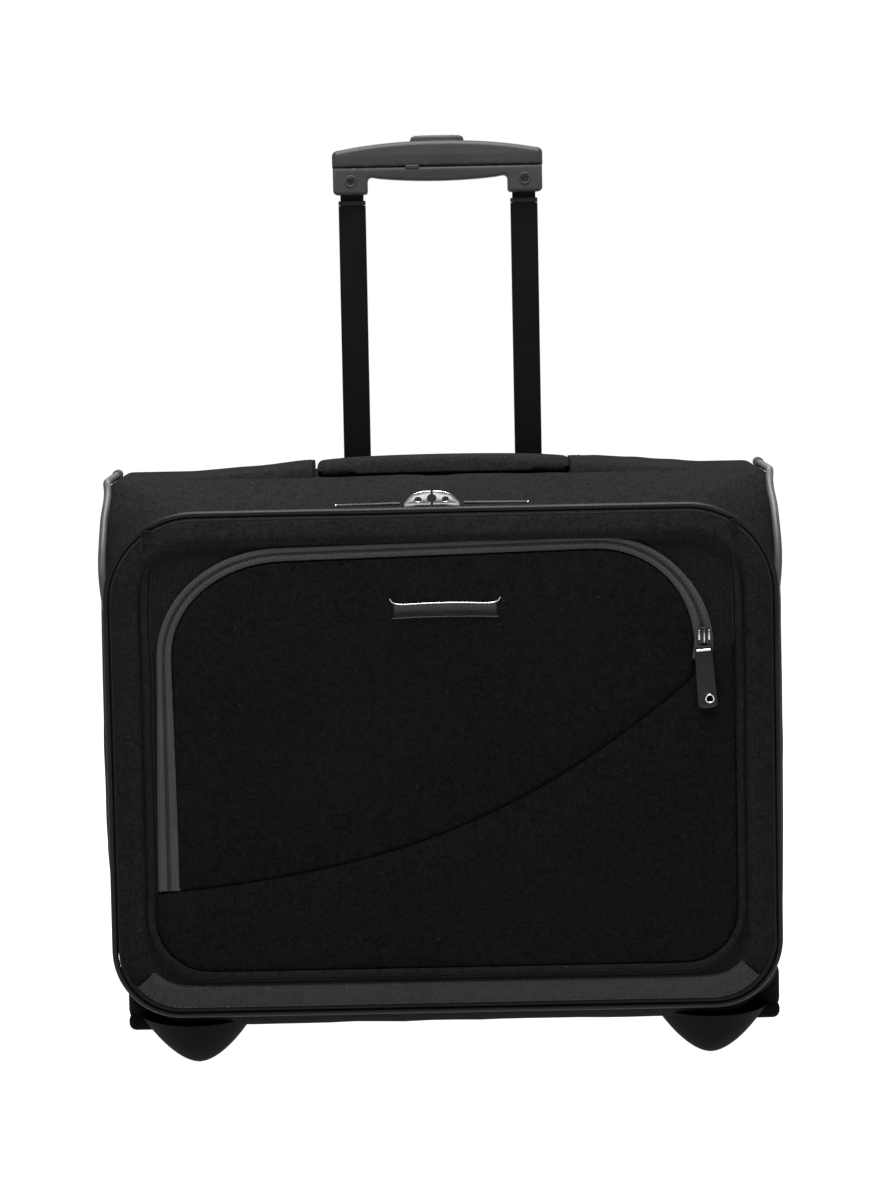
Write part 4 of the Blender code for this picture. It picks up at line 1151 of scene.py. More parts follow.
@dataclass
class FrontPocket:
    """The pocket on the lid: zip arch, two padded panels, slider, puller and badge."""

    leg_x: float = -0.1815
    leg_low: float = 0.1305
    left_centre: tuple[float, float] = (-0.1040, 0.2860)
    arch_top: float = 0.3540
    right_centre: tuple[float, float] = (0.0990, 0.2870)
    right_radius: float = 0.0713
    zip_half: float = 0.0055
    sweep: tuple[tuple[float, float], ...] = ((-0.1895, 0.1293), (-0.0310, 0.1420), (0.0700, 0.1820),
                                              (0.1895, 0.2913))
    lip: float = 0.0006

    def __post_init__(self) -> None:
        """Reads where the lid's face is."""
        self.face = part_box("lid_panel")[0][1] - GAP

    def centre_line(self) -> np.ndarray:
        """The zip's centre, from its lower left end over the arch to the right end."""
        radii = (self.left_centre[0] - self.leg_x, self.arch_top - self.left_centre[1])
        path = [(self.leg_x, self.leg_low)]
        path += arc(self.left_centre, radii, 180, 90, 24)
        path += arc(self.right_centre, (self.right_radius, self.right_radius), 90, 0, 24)
        path.append((self.right_centre[0] + self.right_radius - 0.0025, self.right_centre[1] - 0.0090))
        return softened(resample(path, 0.0025), 4)

    @staticmethod
    def widths(count: int) -> np.ndarray:
        """How wide the tape is along its way: widest at the foot of its leg, and again at the slider."""
        share = np.linspace(0, 1, count)
        return 0.84 + 0.50 * (1 - smooth(0.0, 0.30, share)) + 0.34 * smooth(0.86, 1.0, share)

    def seam_height(self, x: np.ndarray) -> np.ndarray:
        """Height of the sweeping seam at x."""
        t = np.linspace(-0.02, 1.02, 200)[:, None]
        ends = np.array(self.sweep)
        rest = 1 - t
        curve = rest**3 * ends[0] + 3 * t * rest**2 * ends[1] + 3 * t * t * rest * ends[2] + t**3 * ends[3]
        return np.interp(x, curve[:, 0], curve[:, 1])

    def build_zip(self) -> None:
        """The grey tape with its padded outer side, and the coil down its middle."""
        path = self.centre_line()
        widths = self.widths(len(path))
        section = [(1.0, 0.0002), (0.97, 0.0014), (0.86, 0.0023), (0.66, 0.0028), (0.44, 0.0027),
                   (0.28, 0.0021),
                   (0.20, 0.0015), (0.02, 0.0014), (-0.14, 0.0015), (-0.24, 0.0021), (-0.50, 0.0024),
                   (-0.78, 0.0021), (-0.94, 0.0013), (-1.0, 0.0002)]
        section = [(a * self.zip_half, h) for a, h in section]
        tape = band("pocket_zip_band", path, section, self.face, Dress.GREY_TAPE, widths)
        settle(tape, "lid", Dress.GREY_TAPE, ["pocket_zip_tape"])
        left = sideways(path)
        lines = []
        for offset, lean in ((0.0007, 0.30), (-0.0003, -0.30)):
            line = path + left * offset
            lines.append((np.insert(line, 1, self.face - 0.0017, axis=1), lean))
        for number, (line, lean) in enumerate(lines):
            coil = PathRepeat.along(f"pocket_zip_coil_{number}", [line], Dress.GREY_COIL, 0.0014,
                                    (0.00045, 0.00075, 0.00042), lean=lean, wander=0.05, seed=number)
            settle(coil, "lid", Dress.GREY_COIL)
        rows = [path + left * ((offset * self.zip_half) * widths)[:, None] for offset in (0.80, -0.72)]
        rows = [np.insert(row, 1, self.face - depth, axis=1) for row, depth in zip(rows, (0.0026, 0.0023))]
        stitches = PathRepeat.along("pocket_zip_stitches", rows, Dress.GREY_THREAD, 0.0030,
                                    (0.0002, 0.0002, 0.0011))
        settle(stitches, "lid", Dress.GREY_THREAD)

    def puffed(self, name: str, grid: np.ndarray, edge: float, crown: float, nodes: list[str],
               seed: int) -> None:
        """A padded panel from an (x, z) grid: a rolled edge, a crown and creases by its seams.

        Args:
            name: the piece's name.
            grid: its points as seen from the front.
            edge: how high its rolled edge is.
            crown: how much higher its middle is.
            nodes: the CAD nodes it stands for.
            seed: which creases.
        """
        away = edge_distance(grid)
        x, z = grid[..., 0], grid[..., 1]
        height = rolled(away, edge, 0.0050) + crown * smooth(0.0, 0.060, away)
        pucker = np.exp(-away / 0.016) * smooth(0.0, 0.004, away)
        height += 0.00030 * pucker * ripple(x, z, 0.017, seed)
        height += 0.00045 * smooth(0.01, 0.05, away) * ripple(x, z, 0.13, seed + 1)
        front = Stuffing(cap=0.0016).sheet(facing_front(grid, self.face - height))
        back = facing_front(grid, np.full(x.shape, self.face))
        # The panels wear the darker pocket cloth, whose colour paints the shade that falls on the front.
        settle(slab(name, front, back, Dress.POCKET_PAINTED_SHADE), "lid", Dress.POCKET_PAINTED_SHADE, nodes)

    def build_panels(self) -> None:
        """The upper panel inside the arch and the lower one under the sweeping seam."""
        path = self.centre_line()
        reach = self.zip_half * self.widths(len(path)) + GAP
        inner = path - sideways(path) * reach[:, None]
        over = inner[inner[:, 1] > self.left_centre[1]]
        order = np.argsort(over[:, 0])
        left, right = over[:, 0].min(), over[:, 0].max()

        def arch(x: np.ndarray) -> np.ndarray:
            """Inner edge of the zip at x."""
            return np.interp(x, over[order, 0], over[order, 1])

        def painted_shadow(x: np.ndarray) -> np.ndarray:
            """Upper side of the sweeping seam, kept below the arch."""
            return np.minimum(self.seam_height(x) + self.lip, arch(x) - 0.004)

        upper = columns(painted_shadow, arch, left, right, 96, 64)
        self.puffed("pocket_upper_pad", upper, 0.0030, 0.0012, ["pocket_panel"], 21)

        low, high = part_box("pocket_lower_panel")
        corner = 0.0355

        def bottom(x: np.ndarray) -> np.ndarray:
            """Lower edge with its rounded corners."""
            over_x = np.maximum(np.abs(x) - (high[0] - corner), 0)
            return low[2] + corner - np.sqrt(np.maximum(corner**2 - over_x**2, 0))

        def top(x: np.ndarray) -> np.ndarray:
            """Lower side of the sweeping seam."""
            return self.seam_height(x) - self.lip

        lower = columns(bottom, top, low[0], high[0], 104, 64)
        self.puffed("pocket_lower_pad", lower, 0.0032, 0.0014, ["pocket_lower_panel"], 31)

    def build_bag(self) -> None:
        """The slack lining bag behind the lid."""
        low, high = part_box("pocket_bag")
        grid = columns(lambda x: np.full(x.shape, low[2]), lambda x: np.full(x.shape, high[2]), low[0],
                       high[0], 60, 46)
        away = edge_distance(grid)
        depth = high[1] - low[1]
        slack = rolled(away, depth * 0.6, 0.006) + depth * 0.3 * smooth(0.0, 0.06, away)
        slack += 0.0005 * smooth(0.0, 0.01, away) * ripple(grid[..., 0], grid[..., 1], 0.045, 14)
        front = facing_front(grid, np.full(grid.shape[:2], low[1]))
        bag = slab("pocket_lining_bag", front, facing_front(grid, low[1] + 0.0001 + slack), Dress.LINING)
        settle(bag, "lid", Dress.LINING, ["pocket_bag"])

    def build_badge(self) -> None:
        """A dark bow-tie plate with a bright upper edge and flared ends."""
        low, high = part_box("badge_plate")
        middle, half = (low[0] + high[0]) / 2, (high[0] - low[0]) / 2
        centre = (low[2] + high[2]) / 2
        share = np.linspace(-1, 1, 49)
        up = np.linspace(-1, 1, 15)
        tall = 0.0046 - 0.0004 * share**2 + 0.0012 * np.abs(share) ** 10
        sag = -0.0020 * share**2 + 0.0024 * np.abs(share) ** 14
        x = middle + half * 0.97 * share
        grid = np.stack([np.repeat(x[:, None], 15, axis=1),
                         centre + sag[:, None] * 0.5 + tall[:, None] * up], axis=-1)
        away = edge_distance(grid)
        front = low[1] + 0.0003
        depth = high[1] - 0.0001 - rolled(away, high[1] - front - 0.0008, 0.0012)
        depth += 0.0007 * (1 - up[None, :] ** 2) * smooth(0, 0.002, away)
        plate = slab("badge_face", facing_front(grid, depth),
                     facing_front(grid, np.full(away.shape, high[1])),
                     Dress.SMOKED)
        settle(plate, "lid", Dress.SMOKED, ["badge_plate"])
        for name, sign, radius in (("upper", 1, 0.00038), ("lower", -1, 0.00030)):
            z = centre + sag * 0.5 + sign * tall
            path = np.column_stack([x, np.full(x.shape, front + 0.0002), z])
            if sign > 0:
                lift = np.array([[-half - 0.0004, 0.0, 0.0022], [half + 0.0004, 0.0, 0.0022]])
                ends = np.array([[middle, front + 0.0002, z[0]]] * 2) + lift
                path = np.vstack([ends[:1], path, ends[1:]])
            look = Dress.BRIGHT if sign > 0 else Dress.SMOKED
            settle(strand(f"badge_{name}_rim", path, look, radius, sides=10), "lid", look)

    def build_slider(self) -> None:
        """The pocket's slider, its bridge, and the puller with its ring."""
        low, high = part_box("pocket_slider")
        x, z = (low[0] + high[0]) / 2, (low[2] + high[2]) / 2
        half = (high[0] - low[0]) / 2
        body = [(x - half * 0.70, high[2]), (x + half * 0.70, high[2]), (x + half * 0.95, z + 0.001)]
        body += [(x + half * 0.80, low[2]), (x - half * 0.80, low[2]), (x - half * 0.95, z + 0.001)]
        shoe = cut_plate("pocket_slider_shoe", [body], (low[1] + 0.0012, high[1]), Dress.SMOKED, 0.0005)
        settle(shoe, "pocket_slider", Dress.SMOKED, ["pocket_slider"])
        bridge = [(x, low[1] + 0.0014, high[2] - 0.001), (x, low[1] + 0.0003, z + 0.0025)]
        bridge += [(x, low[1] + 0.0003, z - 0.0020), (x, low[1] + 0.0014, low[2] + 0.0008)]
        arm = strand("pocket_slider_bridge", softened(resample(bridge, 0.0006), 3), Dress.BRIGHT, 0.0007,
                     squash=(0.8, 1.5), up=(1.0, 0.0, 0.0))
        settle(arm, "pocket_slider", Dress.BRIGHT)
        # Two bright metal strips on the dark slider are painted glints, where its sides catch the light.
        for side, name in SIDES:
            glint = rounded_block(f"pocket_slider_rail_{name}",
                                  (x + side * half * 0.78 - 0.0006, low[1] + 0.0008, z - 0.003),
                                  (x + side * half * 0.78 + 0.0006, high[1] - 0.0006, z + 0.0038),
                                  Dress.BRIGHT, 0.0004)
            settle(glint, "pocket_slider", Dress.BRIGHT)

        low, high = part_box("pocket_puller")
        top = Vector((x - 0.0010, z - 0.0065))
        lean = math.radians(4)
        along = Vector((math.sin(lean), -math.cos(lean)))
        across = Vector((along.y, -along.x))
        shape = ((0.0004, 0.0050), (0.0020, 0.0058), (0.0200, 0.0061), (0.0370, 0.0064))
        right = [top + along * d + across * w for d, w in shape]
        left = [top + along * d - across * w for d, w in shape]
        tip = [top + along * (0.0385 + 0.0034 * math.sin(a) ** 0.6) - across * 0.0064 * math.cos(a)
               for a in np.linspace(0.15, math.pi - 0.15, 11)]
        outline = [tuple(p) for p in left + tip + right[::-1]]
        eye = top + along * 0.0355 - across * 0.0016
        hole = arc(eye, (0.0022, 0.0022), 0, 345, 23)
        plate = cut_plate("pocket_pull_tab", [outline, hole], (low[1] + 0.0001, high[1] - 0.0002), Dress.TAG,
                          0.0005)
        settle(plate, "pocket_puller", Dress.TAG, ["pocket_puller"])
        ring = np.array([(a, low[1] + 0.0001, b) for a, b in arc(eye, (0.0026, 0.0026), 0, 352, 44)])
        eyelet = strand("pocket_pull_ring", ring, Dress.BRIGHT, 0.00055, closed=True, sides=10)
        settle(eyelet, "pocket_puller", Dress.BRIGHT)
        ends = [top + along * 0.0030 + across * 0.0046, top + along * 0.0030 - across * 0.0046]
        bar = np.array([(p.x, low[1] + 0.0002, p.y) for p in (ends[0], (ends[0] + ends[1]) / 2, ends[1])])
        clasp = strand("pocket_pull_bar", resample(bar, 0.001), Dress.BRIGHT, 0.0008, sides=10)
        settle(clasp, "pocket_puller", Dress.BRIGHT)
        groove = [top + along * d for d in np.linspace(0.007, 0.0290, 12)]
        ridge = np.array([(p.x, low[1] + 0.0002, p.y) for p in groove])
        spine = strand("pocket_pull_ridge", ridge, Dress.TAG, 0.0009, sides=10, squash=(0.5, 2.0))
        settle(spine, "pocket_puller", Dress.TAG)

    def build(self) -> None:
        """All of the pocket."""
        self.build_zip()
        self.build_panels()
        self.build_bag()
        self.build_badge()
        self.build_slider()


@dataclass
class MainZip:
    """The zip round the lid: two tapes with their coil, a pair of lockable sliders and their tags."""

    end: float = 0.080
    lid_corner: float = LID_CORNER_TOP

    def arch(self, out: float = 0.0, step: float = 0.003) -> np.ndarray:
        """(x, z) points over the lid's outline, a little outside it."""
        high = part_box("lid_panel")[1]
        half, top, corner = high[0] - 0.0006 + out, high[2] - 0.0006 + out, self.lid_corner + out
        over = arc((half - corner, top - corner), (corner, corner), 0, 90, 20)
        over += arc((corner - half, top - corner), (corner, corner), 90, 180, 20)
        return resample([(half, self.end), *over, (-half, self.end)], step)

    def build_tapes(self) -> None:
        """The tapes on the lid and on the body, and their teeth."""
        for node, body, name in (("lid_zip_tape", "lid", "lid"), ("main_zip_tape", "case", "body")):
            low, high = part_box(node)
            rows = []
            for share, out in ((0.0, 0.0), (0.15, 0.0002), (0.85, 0.0002), (1.0, 0.0)):
                line = self.arch(out)
                rows.append(np.insert(line, 1, low[1] + (high[1] - low[1]) * share, axis=1))
            outer = np.array(rows)
            tape = skin(f"{name}_zip_tape_sewn", outer, 0.0014, Dress.BLACK_TAPE_AND_SHADOW, (0, outer[0, 0, 1], 0.2))
            settle(tape, body, Dress.BLACK_TAPE_AND_SHADOW, [node])
            edge = high[1] - 0.0005 if body == "lid" else low[1] + 0.0005
            teeth = PathRepeat.along(f"{name}_zip_coil", [np.insert(self.arch(0.0002), 1, edge, axis=1)],
                                     Dress.BLACK_COIL, 0.0017, (0.00075, 0.00052, 0.0007), facing=(0, 0, 1),
                                     wander=0.04)
            settle(teeth, body, Dress.BLACK_COIL)

    def build_sliders(self) -> None:
        """Each slider is half of a lockable arch; together they close round a padlock hole."""
        for side, name in SIDES:
            low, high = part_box(f"zip_slider_{name}")
            inner = low[0] if side > 0 else high[0]
            base, top = low[2], high[2]
            reach = abs((high[0] if side > 0 else low[0]) - inner)

            def at(across: float, up: float) -> tuple[float, float]:
                """A point by its distance out from the middle and up from the base."""
                return inner + side * across, base + up

            rise = top - base
            body = [at(0.0, rise * 0.86), at(0.0045, rise * 0.85), at(0.0085, rise * 0.81),
                    at(0.0120, rise * 0.72)]
            body += [at(0.0150, rise * 0.56), at(reach, rise * 0.34), at(reach, 0.0), at(reach - 0.0052, 0.0)]
            body += [at(reach - 0.0058, rise * 0.22), at(0.0060, rise * 0.24), at(0.0026, rise * 0.24)]
            centre = inner - side * 0.0006
            bite = [(centre + side * 0.0030 * math.cos(a), base + rise * 0.54 + 0.0028 * math.sin(a))
                    for a in np.linspace(-1.32, 1.32, 12)]
            body += [at(0.0, rise * 0.24), *bite]
            eye = arc(at(0.0085, rise * 0.50), (0.0023, 0.0016), 0, 345, 23)
            span = (low[1] + 0.0003, high[1] - 0.0003)
            half = cut_plate(f"zip_arch_{name}", [body, eye], span, Dress.BRIGHT, 0.0004)
            settle(half, f"zip_slider_{name}", Dress.BRIGHT, [f"zip_slider_{name}"])
            foot_x = inner + side * (reach - 0.0040)
            shoe = rounded_block(f"zip_shoe_{name}", (foot_x - 0.0034, low[1] - 0.0004, base - 0.0009),
                                 (foot_x + 0.0034, high[1] + 0.0004, base + 0.0012), Dress.BRIGHT, 0.0005)
            settle(shoe, f"zip_slider_{name}", Dress.BRIGHT)

            low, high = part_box(f"zip_tag_{name}")
            root, tip = (low[0], high[0]) if side > 0 else (high[0], low[0])
            y, half_w = (low[1] + high[1]) / 2, (high[1] - low[1]) / 2
            root += side * 0.0014
            length = abs(tip - root)
            share = np.linspace(0, 1, 40)
            wide = half_w * (0.55 + 0.40 * smooth(0.0, 0.8, share) - 0.35 * smooth(0.93, 1.0, share))
            middle = (low[2] + high[2]) / 2 - 0.0002 * share
            thick = 0.0010 - 0.0003 * share
            grids = []
            for sign in (1, -1):
                rows = []
                for across in np.linspace(-1, 1, 11):
                    crown = thick * math.sqrt(1 - 0.9 * across**2)
                    rows.append(np.column_stack([root + side * length * share, y + wide * across,
                                                 middle + sign * crown]))
                grids.append(np.array(rows))
            tag = slab(f"zip_pull_{name}", grids[0], grids[1], Dress.TAG)
            settle(tag, f"zip_tag_{name}", Dress.TAG, [f"zip_tag_{name}"])
            end = rounded_block(f"zip_pull_tip_{name}",
                                (min(tip, tip - side * 0.0042), y - half_w * 0.62, low[2] - 0.0002),
                                (max(tip, tip - side * 0.0042), y + half_w * 0.62, high[2] - 0.0006),
                                Dress.BRIGHT, 0.0005)
            settle(end, f"zip_tag_{name}", Dress.BRIGHT)

    def build(self) -> None:
        """All of the zip."""
        self.build_tapes()
        self.build_sliders()


# ---------------------------------------------------------------- body


@dataclass
class Body:
    """The soft body: gusset, top, sides, rear, handle sleeves and side piping."""

    front: float = -0.0300
    side_top: float = 0.3650
    side_bottom: float = 0.0800
    corner_top: float = 0.0100
    corner_bottom: float = 0.0180
    wall: float = 0.0032
    bulge: float = 0.0060
    sag: float = 0.0120
    sag_half: tuple[float, float] = (0.0960, 0.0400)
    sag_y: float = 0.0280
    piping_front: float = 0.20
    droop: float = 0.0110
    notch: float = 0.1500

    def __post_init__(self) -> None:
        """Reads the body's boxes."""
        self.half, self.back, self.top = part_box("top_panel")[1]
        self.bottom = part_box("base_tray")[0][2]

    def swell(self, z: np.ndarray, y: np.ndarray) -> np.ndarray:
        """How far a side stands out at a height and depth."""
        tall = np.maximum(np.sin(math.pi * np.clip((z - 0.060) / 0.334, 0, 1)), 0) ** 0.25
        tall = tall * (1 - smooth(0.374, 0.398, z)) * smooth(0.060, 0.110, z)
        deep = np.maximum(np.sin(math.pi * np.clip((y + 0.095) / 0.190, 0, 1)), 0) ** 0.5
        return self.bulge * tall * deep

    def sagged(self, x: np.ndarray, y: np.ndarray) -> np.ndarray:
        """How far the top hangs under the carry handle."""
        across = np.clip(1 - (x / self.sag_half[0]) ** 2, 0, 1)
        along = np.clip(1 - ((y - self.sag_y) / self.sag_half[1]) ** 2, 0, 1)
        return self.sag * np.minimum(1, 1.6 * across) * np.minimum(1, 1.8 * along)

    def build_top(self) -> None:
        """The top panel, bent down over the upper corners, with a slot for the tube's bezel."""
        half, corner = self.half, self.corner_top
        over = arc((half - corner, self.top - corner), (corner, corner), 0, 90, 8)
        flat = np.linspace(half - corner, corner - half, 92)[1:-1]
        profile = [(half, self.side_top), (half, self.side_top + 0.012), *over,
                   *[(x, self.top) for x in flat]]
        profile += [(-x, z) for x, z in reversed(over)] + [(-half, self.side_top + 0.012),
                                                           (-half, self.side_top)]
        line = np.array(profile)
        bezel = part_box("tube_bezel")[0][1] - 2 * GAP
        rows = []
        for y in np.linspace(self.front, bezel, 27):
            x, z = line[:, 0], line[:, 1]
            crease = 0.0006 * ripple(x, np.full(x.shape, y), 0.05, 6) * smooth(0.39, 0.40, z)
            crease = crease * smooth(self.front, self.front + 0.01, y)
            out = self.swell(z, np.full(x.shape, y)) * np.sign(x)
            rows.append(np.column_stack([x + out, np.full(x.shape, y),
                                         z - self.sagged(x, y) + crease - 0.0006]))
        top = skin("top_skin", np.array(rows), self.wall, Dress.SHELL, (0, 0, 0.2))
        settle(top, "case", Dress.SHELL, ["top_panel"])
        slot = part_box("tube_bezel")[1][0] + GAP
        for side, name in SIDES:
            part = line[line[:, 0] * side > slot - 0.002]
            part[:, 0] = np.where(np.abs(part[:, 0]) < slot, side * slot, part[:, 0])
            rows = []
            for y in np.linspace(bezel, self.back, 7):
                x, z = part[:, 0], part[:, 1]
                out = self.swell(z, np.full(x.shape, y)) * side
                rows.append(np.column_stack([x + out, np.full(x.shape, y), z - 0.0006]))
            wing = skin(f"top_skin_rear_{name}", np.array(rows), self.wall, Dress.SHELL, (0, 0, 0.2))
            settle(wing, "case", Dress.SHELL)

    def build_sides(self) -> None:
        """The side panels, which bulge a little between their seams."""
        for side, name in SIDES:
            z = np.linspace(self.side_bottom, self.side_top - GAP, 60)
            rows = []
            for y in np.linspace(self.front, self.back, 26):
                out = self.swell(z, np.full(z.shape, y))
                out = out + 0.0006 * ripple(z, np.full(z.shape, y), 0.08, 11 + side) * (out > 0.001)
                rows.append(np.column_stack([side * (self.half + out), np.full(z.shape, y), z]))
            panel = skin(f"side_skin_{name}", np.array(rows), self.wall, Dress.SHELL, (0, 0, 0.2))
            settle(panel, "case", Dress.SHELL, [f"side_panel_{name}"])
            inside = self.half - self.wall - 0.0006
            ends = sorted((side * inside, side * (inside - 0.0010)))
            lining = rounded_block(f"side_lining_{name}", (ends[0], self.front + 0.002, 0.0712),
                                   (ends[1], self.back - 0.0006, self.top - 0.012), Dress.LINING, 0.0002, 1)
            settle(lining, "case", Dress.LINING)

    def ring(self, share: float, steps: int = 12) -> np.ndarray:
        """The gusset's outline at a share of its depth."""
        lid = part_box("lid_panel")[1]
        lid_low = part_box("lid_panel")[0]
        lid_edge = np.array((lid[0] - 0.0005, lid_low[2] + 0.0005, lid[2] - 0.0005, LID_CORNER_TOP,
                             LID_CORNER_BOTTOM))
        own_edge = np.array((self.half, self.bottom, self.top, self.corner_top, self.corner_bottom))
        outline = rounded(*(lid_edge + (own_edge - lid_edge) * share), steps)
        points: Flat = []
        for i, (x, z) in enumerate(outline):
            nx, nz = outline[(i + 1) % len(outline)]
            count = 22 if math.hypot(nx - x, nz - z) > 0.05 else 1
            points += [(x + (nx - x) * k / count, z + (nz - z) * k / count) for k in range(count)]
        return np.array(points)

    def build_gusset(self) -> None:
        """The fabric that slopes from the zip out to the body, all round."""
        low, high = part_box("zip_gusset")
        front, back = low[1], high[1]
        rows = []
        for share in np.linspace(0, 1, 16):
            ring = self.ring(share)
            y = front + (back - front) * share
            out = self.swell(ring[:, 1], np.full(len(ring), y)) * np.sin(share * math.pi / 2) ** 0.6
            puff = 0.0012 * math.sin(math.pi * share)
            away = np.sign(ring[:, 0]) * (np.abs(ring[:, 0]) > self.half - 0.02)
            lift = puff * (ring[:, 1] > self.top - 0.03) - puff * (ring[:, 1] < self.bottom + 0.03)
            crease = 0.0005 * ripple(ring[:, 0], ring[:, 1] + y, 0.06, 8) * math.sin(math.pi * share)
            droop = self.droop * math.sin(math.pi * min(1.0, share / 0.75)) ** 0.7 if share < 0.75 else 0.0
            crease -= droop * (ring[:, 1] < 0.056) * (1 - smooth(0.180, 0.215, np.abs(ring[:, 0])))
            rows.append(np.column_stack([ring[:, 0] + away * out, np.full(len(ring), y),
                                         ring[:, 1] + lift + crease]))
        gusset = skin("gusset_skin", np.array(rows), 0.0014, Dress.SHELL, (0, -0.05, 0.2), wrap=True)
        settle(gusset, "case", Dress.SHELL, ["zip_gusset"])

    def build_rear(self) -> None:
        """The rear panel, crowned between its sewn edges and notched for the wheel housings."""
        low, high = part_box("rear_panel")
        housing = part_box("wheel_housing_right")

        def bottom(x: np.ndarray) -> np.ndarray:
            """Lower edge, stepped up over the housings."""
            over = np.maximum(np.abs(x) - (high[0] - self.corner_bottom), 0)
            curve = low[2] + self.corner_bottom - np.sqrt(np.maximum(self.corner_bottom**2 - over**2, 0))
            return np.where(np.abs(x) > self.notch - 0.001, housing[1][2] + GAP, curve)

        def top(x: np.ndarray) -> np.ndarray:
            """Upper edge with its rounded corners."""
            over = np.maximum(np.abs(x) - (high[0] - self.corner_top), 0)
            return high[2] - self.corner_top + np.sqrt(np.maximum(self.corner_top**2 - over**2, 0))

        grid = columns(bottom, top, low[0], high[0], 110, 56)
        away = edge_distance(grid)
        puff = rolled(away, (high[1] - low[1]) * 0.75, 0.005) + 0.0035 * smooth(0.01, 0.10, away)
        puff += 0.0005 * smooth(0, 0.02, away) * ripple(grid[..., 0], grid[..., 1], 0.10, 17)
        channel = np.exp(-((away - 0.016) / 0.0016) ** 2)
        outer = facing_front(grid, low[1] + puff + 0.0004 - 0.0008 * channel)
        for side, name in SIDES:
            near, far = sorted((side * (self.notch - 0.010), side * (self.notch - GAP)))
            strip = rounded_block(f"rear_corner_binding_{name}", (near, low[1] + 0.0002, low[2] + 0.001),
                                  (far, low[1] + 0.0018, housing[1][2] + 0.004), Dress.SHELL, 0.0002, 1)
            settle(strip, "case", Dress.SHELL)
        rear = slab("rear_skin", outer, facing_front(grid, np.full(away.shape, low[1])), Dress.SHELL)
        settle(rear, "case", Dress.SHELL, ["rear_panel"])
        inset = 0.016
        frame_line = rounded(high[0] - inset, housing[1][2] + inset, high[2] - inset, 0.008, 0.008, 6)
        line = resample(frame_line, 0.004, closed=True)
        line = np.vstack([line, line[:1]])
        stitches = PathRepeat.along("rear_stitches", [np.insert(line, 1, low[1] + 0.0039, axis=1)],
                                    Dress.THREAD,
                                    0.0036, (0.0003, 0.0003, 0.0014), facing=(0, 1, 0))
        settle(stitches, "case", Dress.THREAD)

    def build_sleeves(self) -> None:
        """The padded wedges that the ends of the carry handle come out of."""
        for side, name in SIDES:
            low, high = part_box(f"handle_anchor_{name}")
            near, far = sorted((abs(low[0]), abs(high[0])))
            near, far = near - 0.0010, far + 0.0200
            across, deep = 34, 26
            share = np.linspace(0, 1, across)
            run = np.linspace(0, 1, deep)
            rows, floor = [], []
            for s in share:
                x = near + (far - near) * s
                tall = (high[2] - low[2] + 0.0014) * (1 - s) ** 0.9
                y = low[1] + (high[1] - low[1]) * run
                edge = np.minimum(run, 1 - run) * (high[1] - low[1])
                outer = (far - near) * (1 - s)
                lump = rolled(edge, 1.0, 0.022) * rolled(np.full(deep, outer), 1.0, 0.006)
                mouth = 1 - 0.08 * math.exp(-s / 0.03)
                pull = 0.0005 * ripple(np.full(deep, x * side), y, 0.03, 23)
                z = low[2] - 0.0012 + np.maximum(tall * lump * mouth + pull * lump, 0)
                rows.append(np.column_stack([np.full(deep, side * x), y, z]))
                floor.append(np.column_stack([np.full(deep, side * x), y, np.full(deep, low[2] - 0.0022)]))
            outer_grid = Stuffing(cap=0.0012).sheet(np.array(rows))
            sleeve = slab(f"handle_sleeve_{name}", outer_grid, np.array(floor), Dress.SHELL)
            settle(sleeve, "case", Dress.SHELL, [f"handle_anchor_{name}"])
            line = outer_grid[2, 3:-3] + np.array((0, 0, 0.0001))
            stitches = PathRepeat.along(f"sleeve_stitches_{name}", [line], Dress.THREAD, 0.0036,
                                        (0.0003, 0.0003, 0.0013), facing=(0, 0, 1))
            settle(stitches, "case", Dress.THREAD)

    def beside(self, share: float, angle: float, stand: float, y: float) -> tuple[float, float, float]:
        """A point off the upper corner of the gusset's section at a share of its depth."""
        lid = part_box("lid_panel")[1]
        edge = [a + (b - a) * share for a, b in
                zip((lid[0] - 0.0005, lid[2] - 0.0005, LID_CORNER_TOP),
                    (self.half, self.top, self.corner_top))]
        reach = edge[2] + stand
        turn = math.radians(angle)
        return (edge[0] - edge[2] + reach * math.cos(turn), y, edge[1] - edge[2] + reach * math.sin(turn))

    def build_piping(self) -> None:
        """The grey cord round each side, with a sleeve where its ends overlap."""
        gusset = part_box("zip_gusset")
        for side, name in SIDES:
            node = f"side_piping_{name}"
            radius = 0.0026
            stand = 1.15 * (0.0024 + GAP)
            path = []
            for i in range(17):
                share = i / 16
                depth = self.piping_front + (1 - self.piping_front) * share**1.5
                y = gusset[0][1] + (gusset[1][1] - gusset[0][1]) * depth
                path.append(self.beside(depth, 45 * share, stand, y))
            path.insert(0, (path[0][0], path[0][1], 0.080))
            for i in range(9):
                path.append(self.beside(1.0, 45 * (1 - i / 8), stand, self.back - 0.012 + 0.00165 * i))
            path.append((path[-1][0], path[-1][1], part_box(node)[0][2] + 0.001))
            line = softened(resample(path, 0.003), 5)
            line[:, 0] += self.swell(line[:, 2], line[:, 1]) * 0.9 * smooth(0.300, 0.355, line[:, 2])
            line[:, 0] -= 0.0030 * (1 - smooth(0.270, 0.340, line[:, 2])) * (line[:, 1] < self.front)
            line[:, 0] *= side
            cord = strand(f"side_cord_{name}", line, Dress.GREY_CORD, radius, sides=14, up=(1.0, 0.05, 0.02))
            settle(cord, "case", Dress.GREY_CORD, [node])
            top = np.abs(line[:, 2] - line[:, 2].max()) < 0.004
            clip = line[(line[:, 1] > self.back - 0.034) & (line[:, 1] < self.back - 0.016) & top]
            if len(clip) > 2:
                cover = strand(f"side_cord_joint_{name}", clip, Dress.GREY_CORD, 0.0035, sides=14,
                               up=(1.0, 0.05, 0.02))
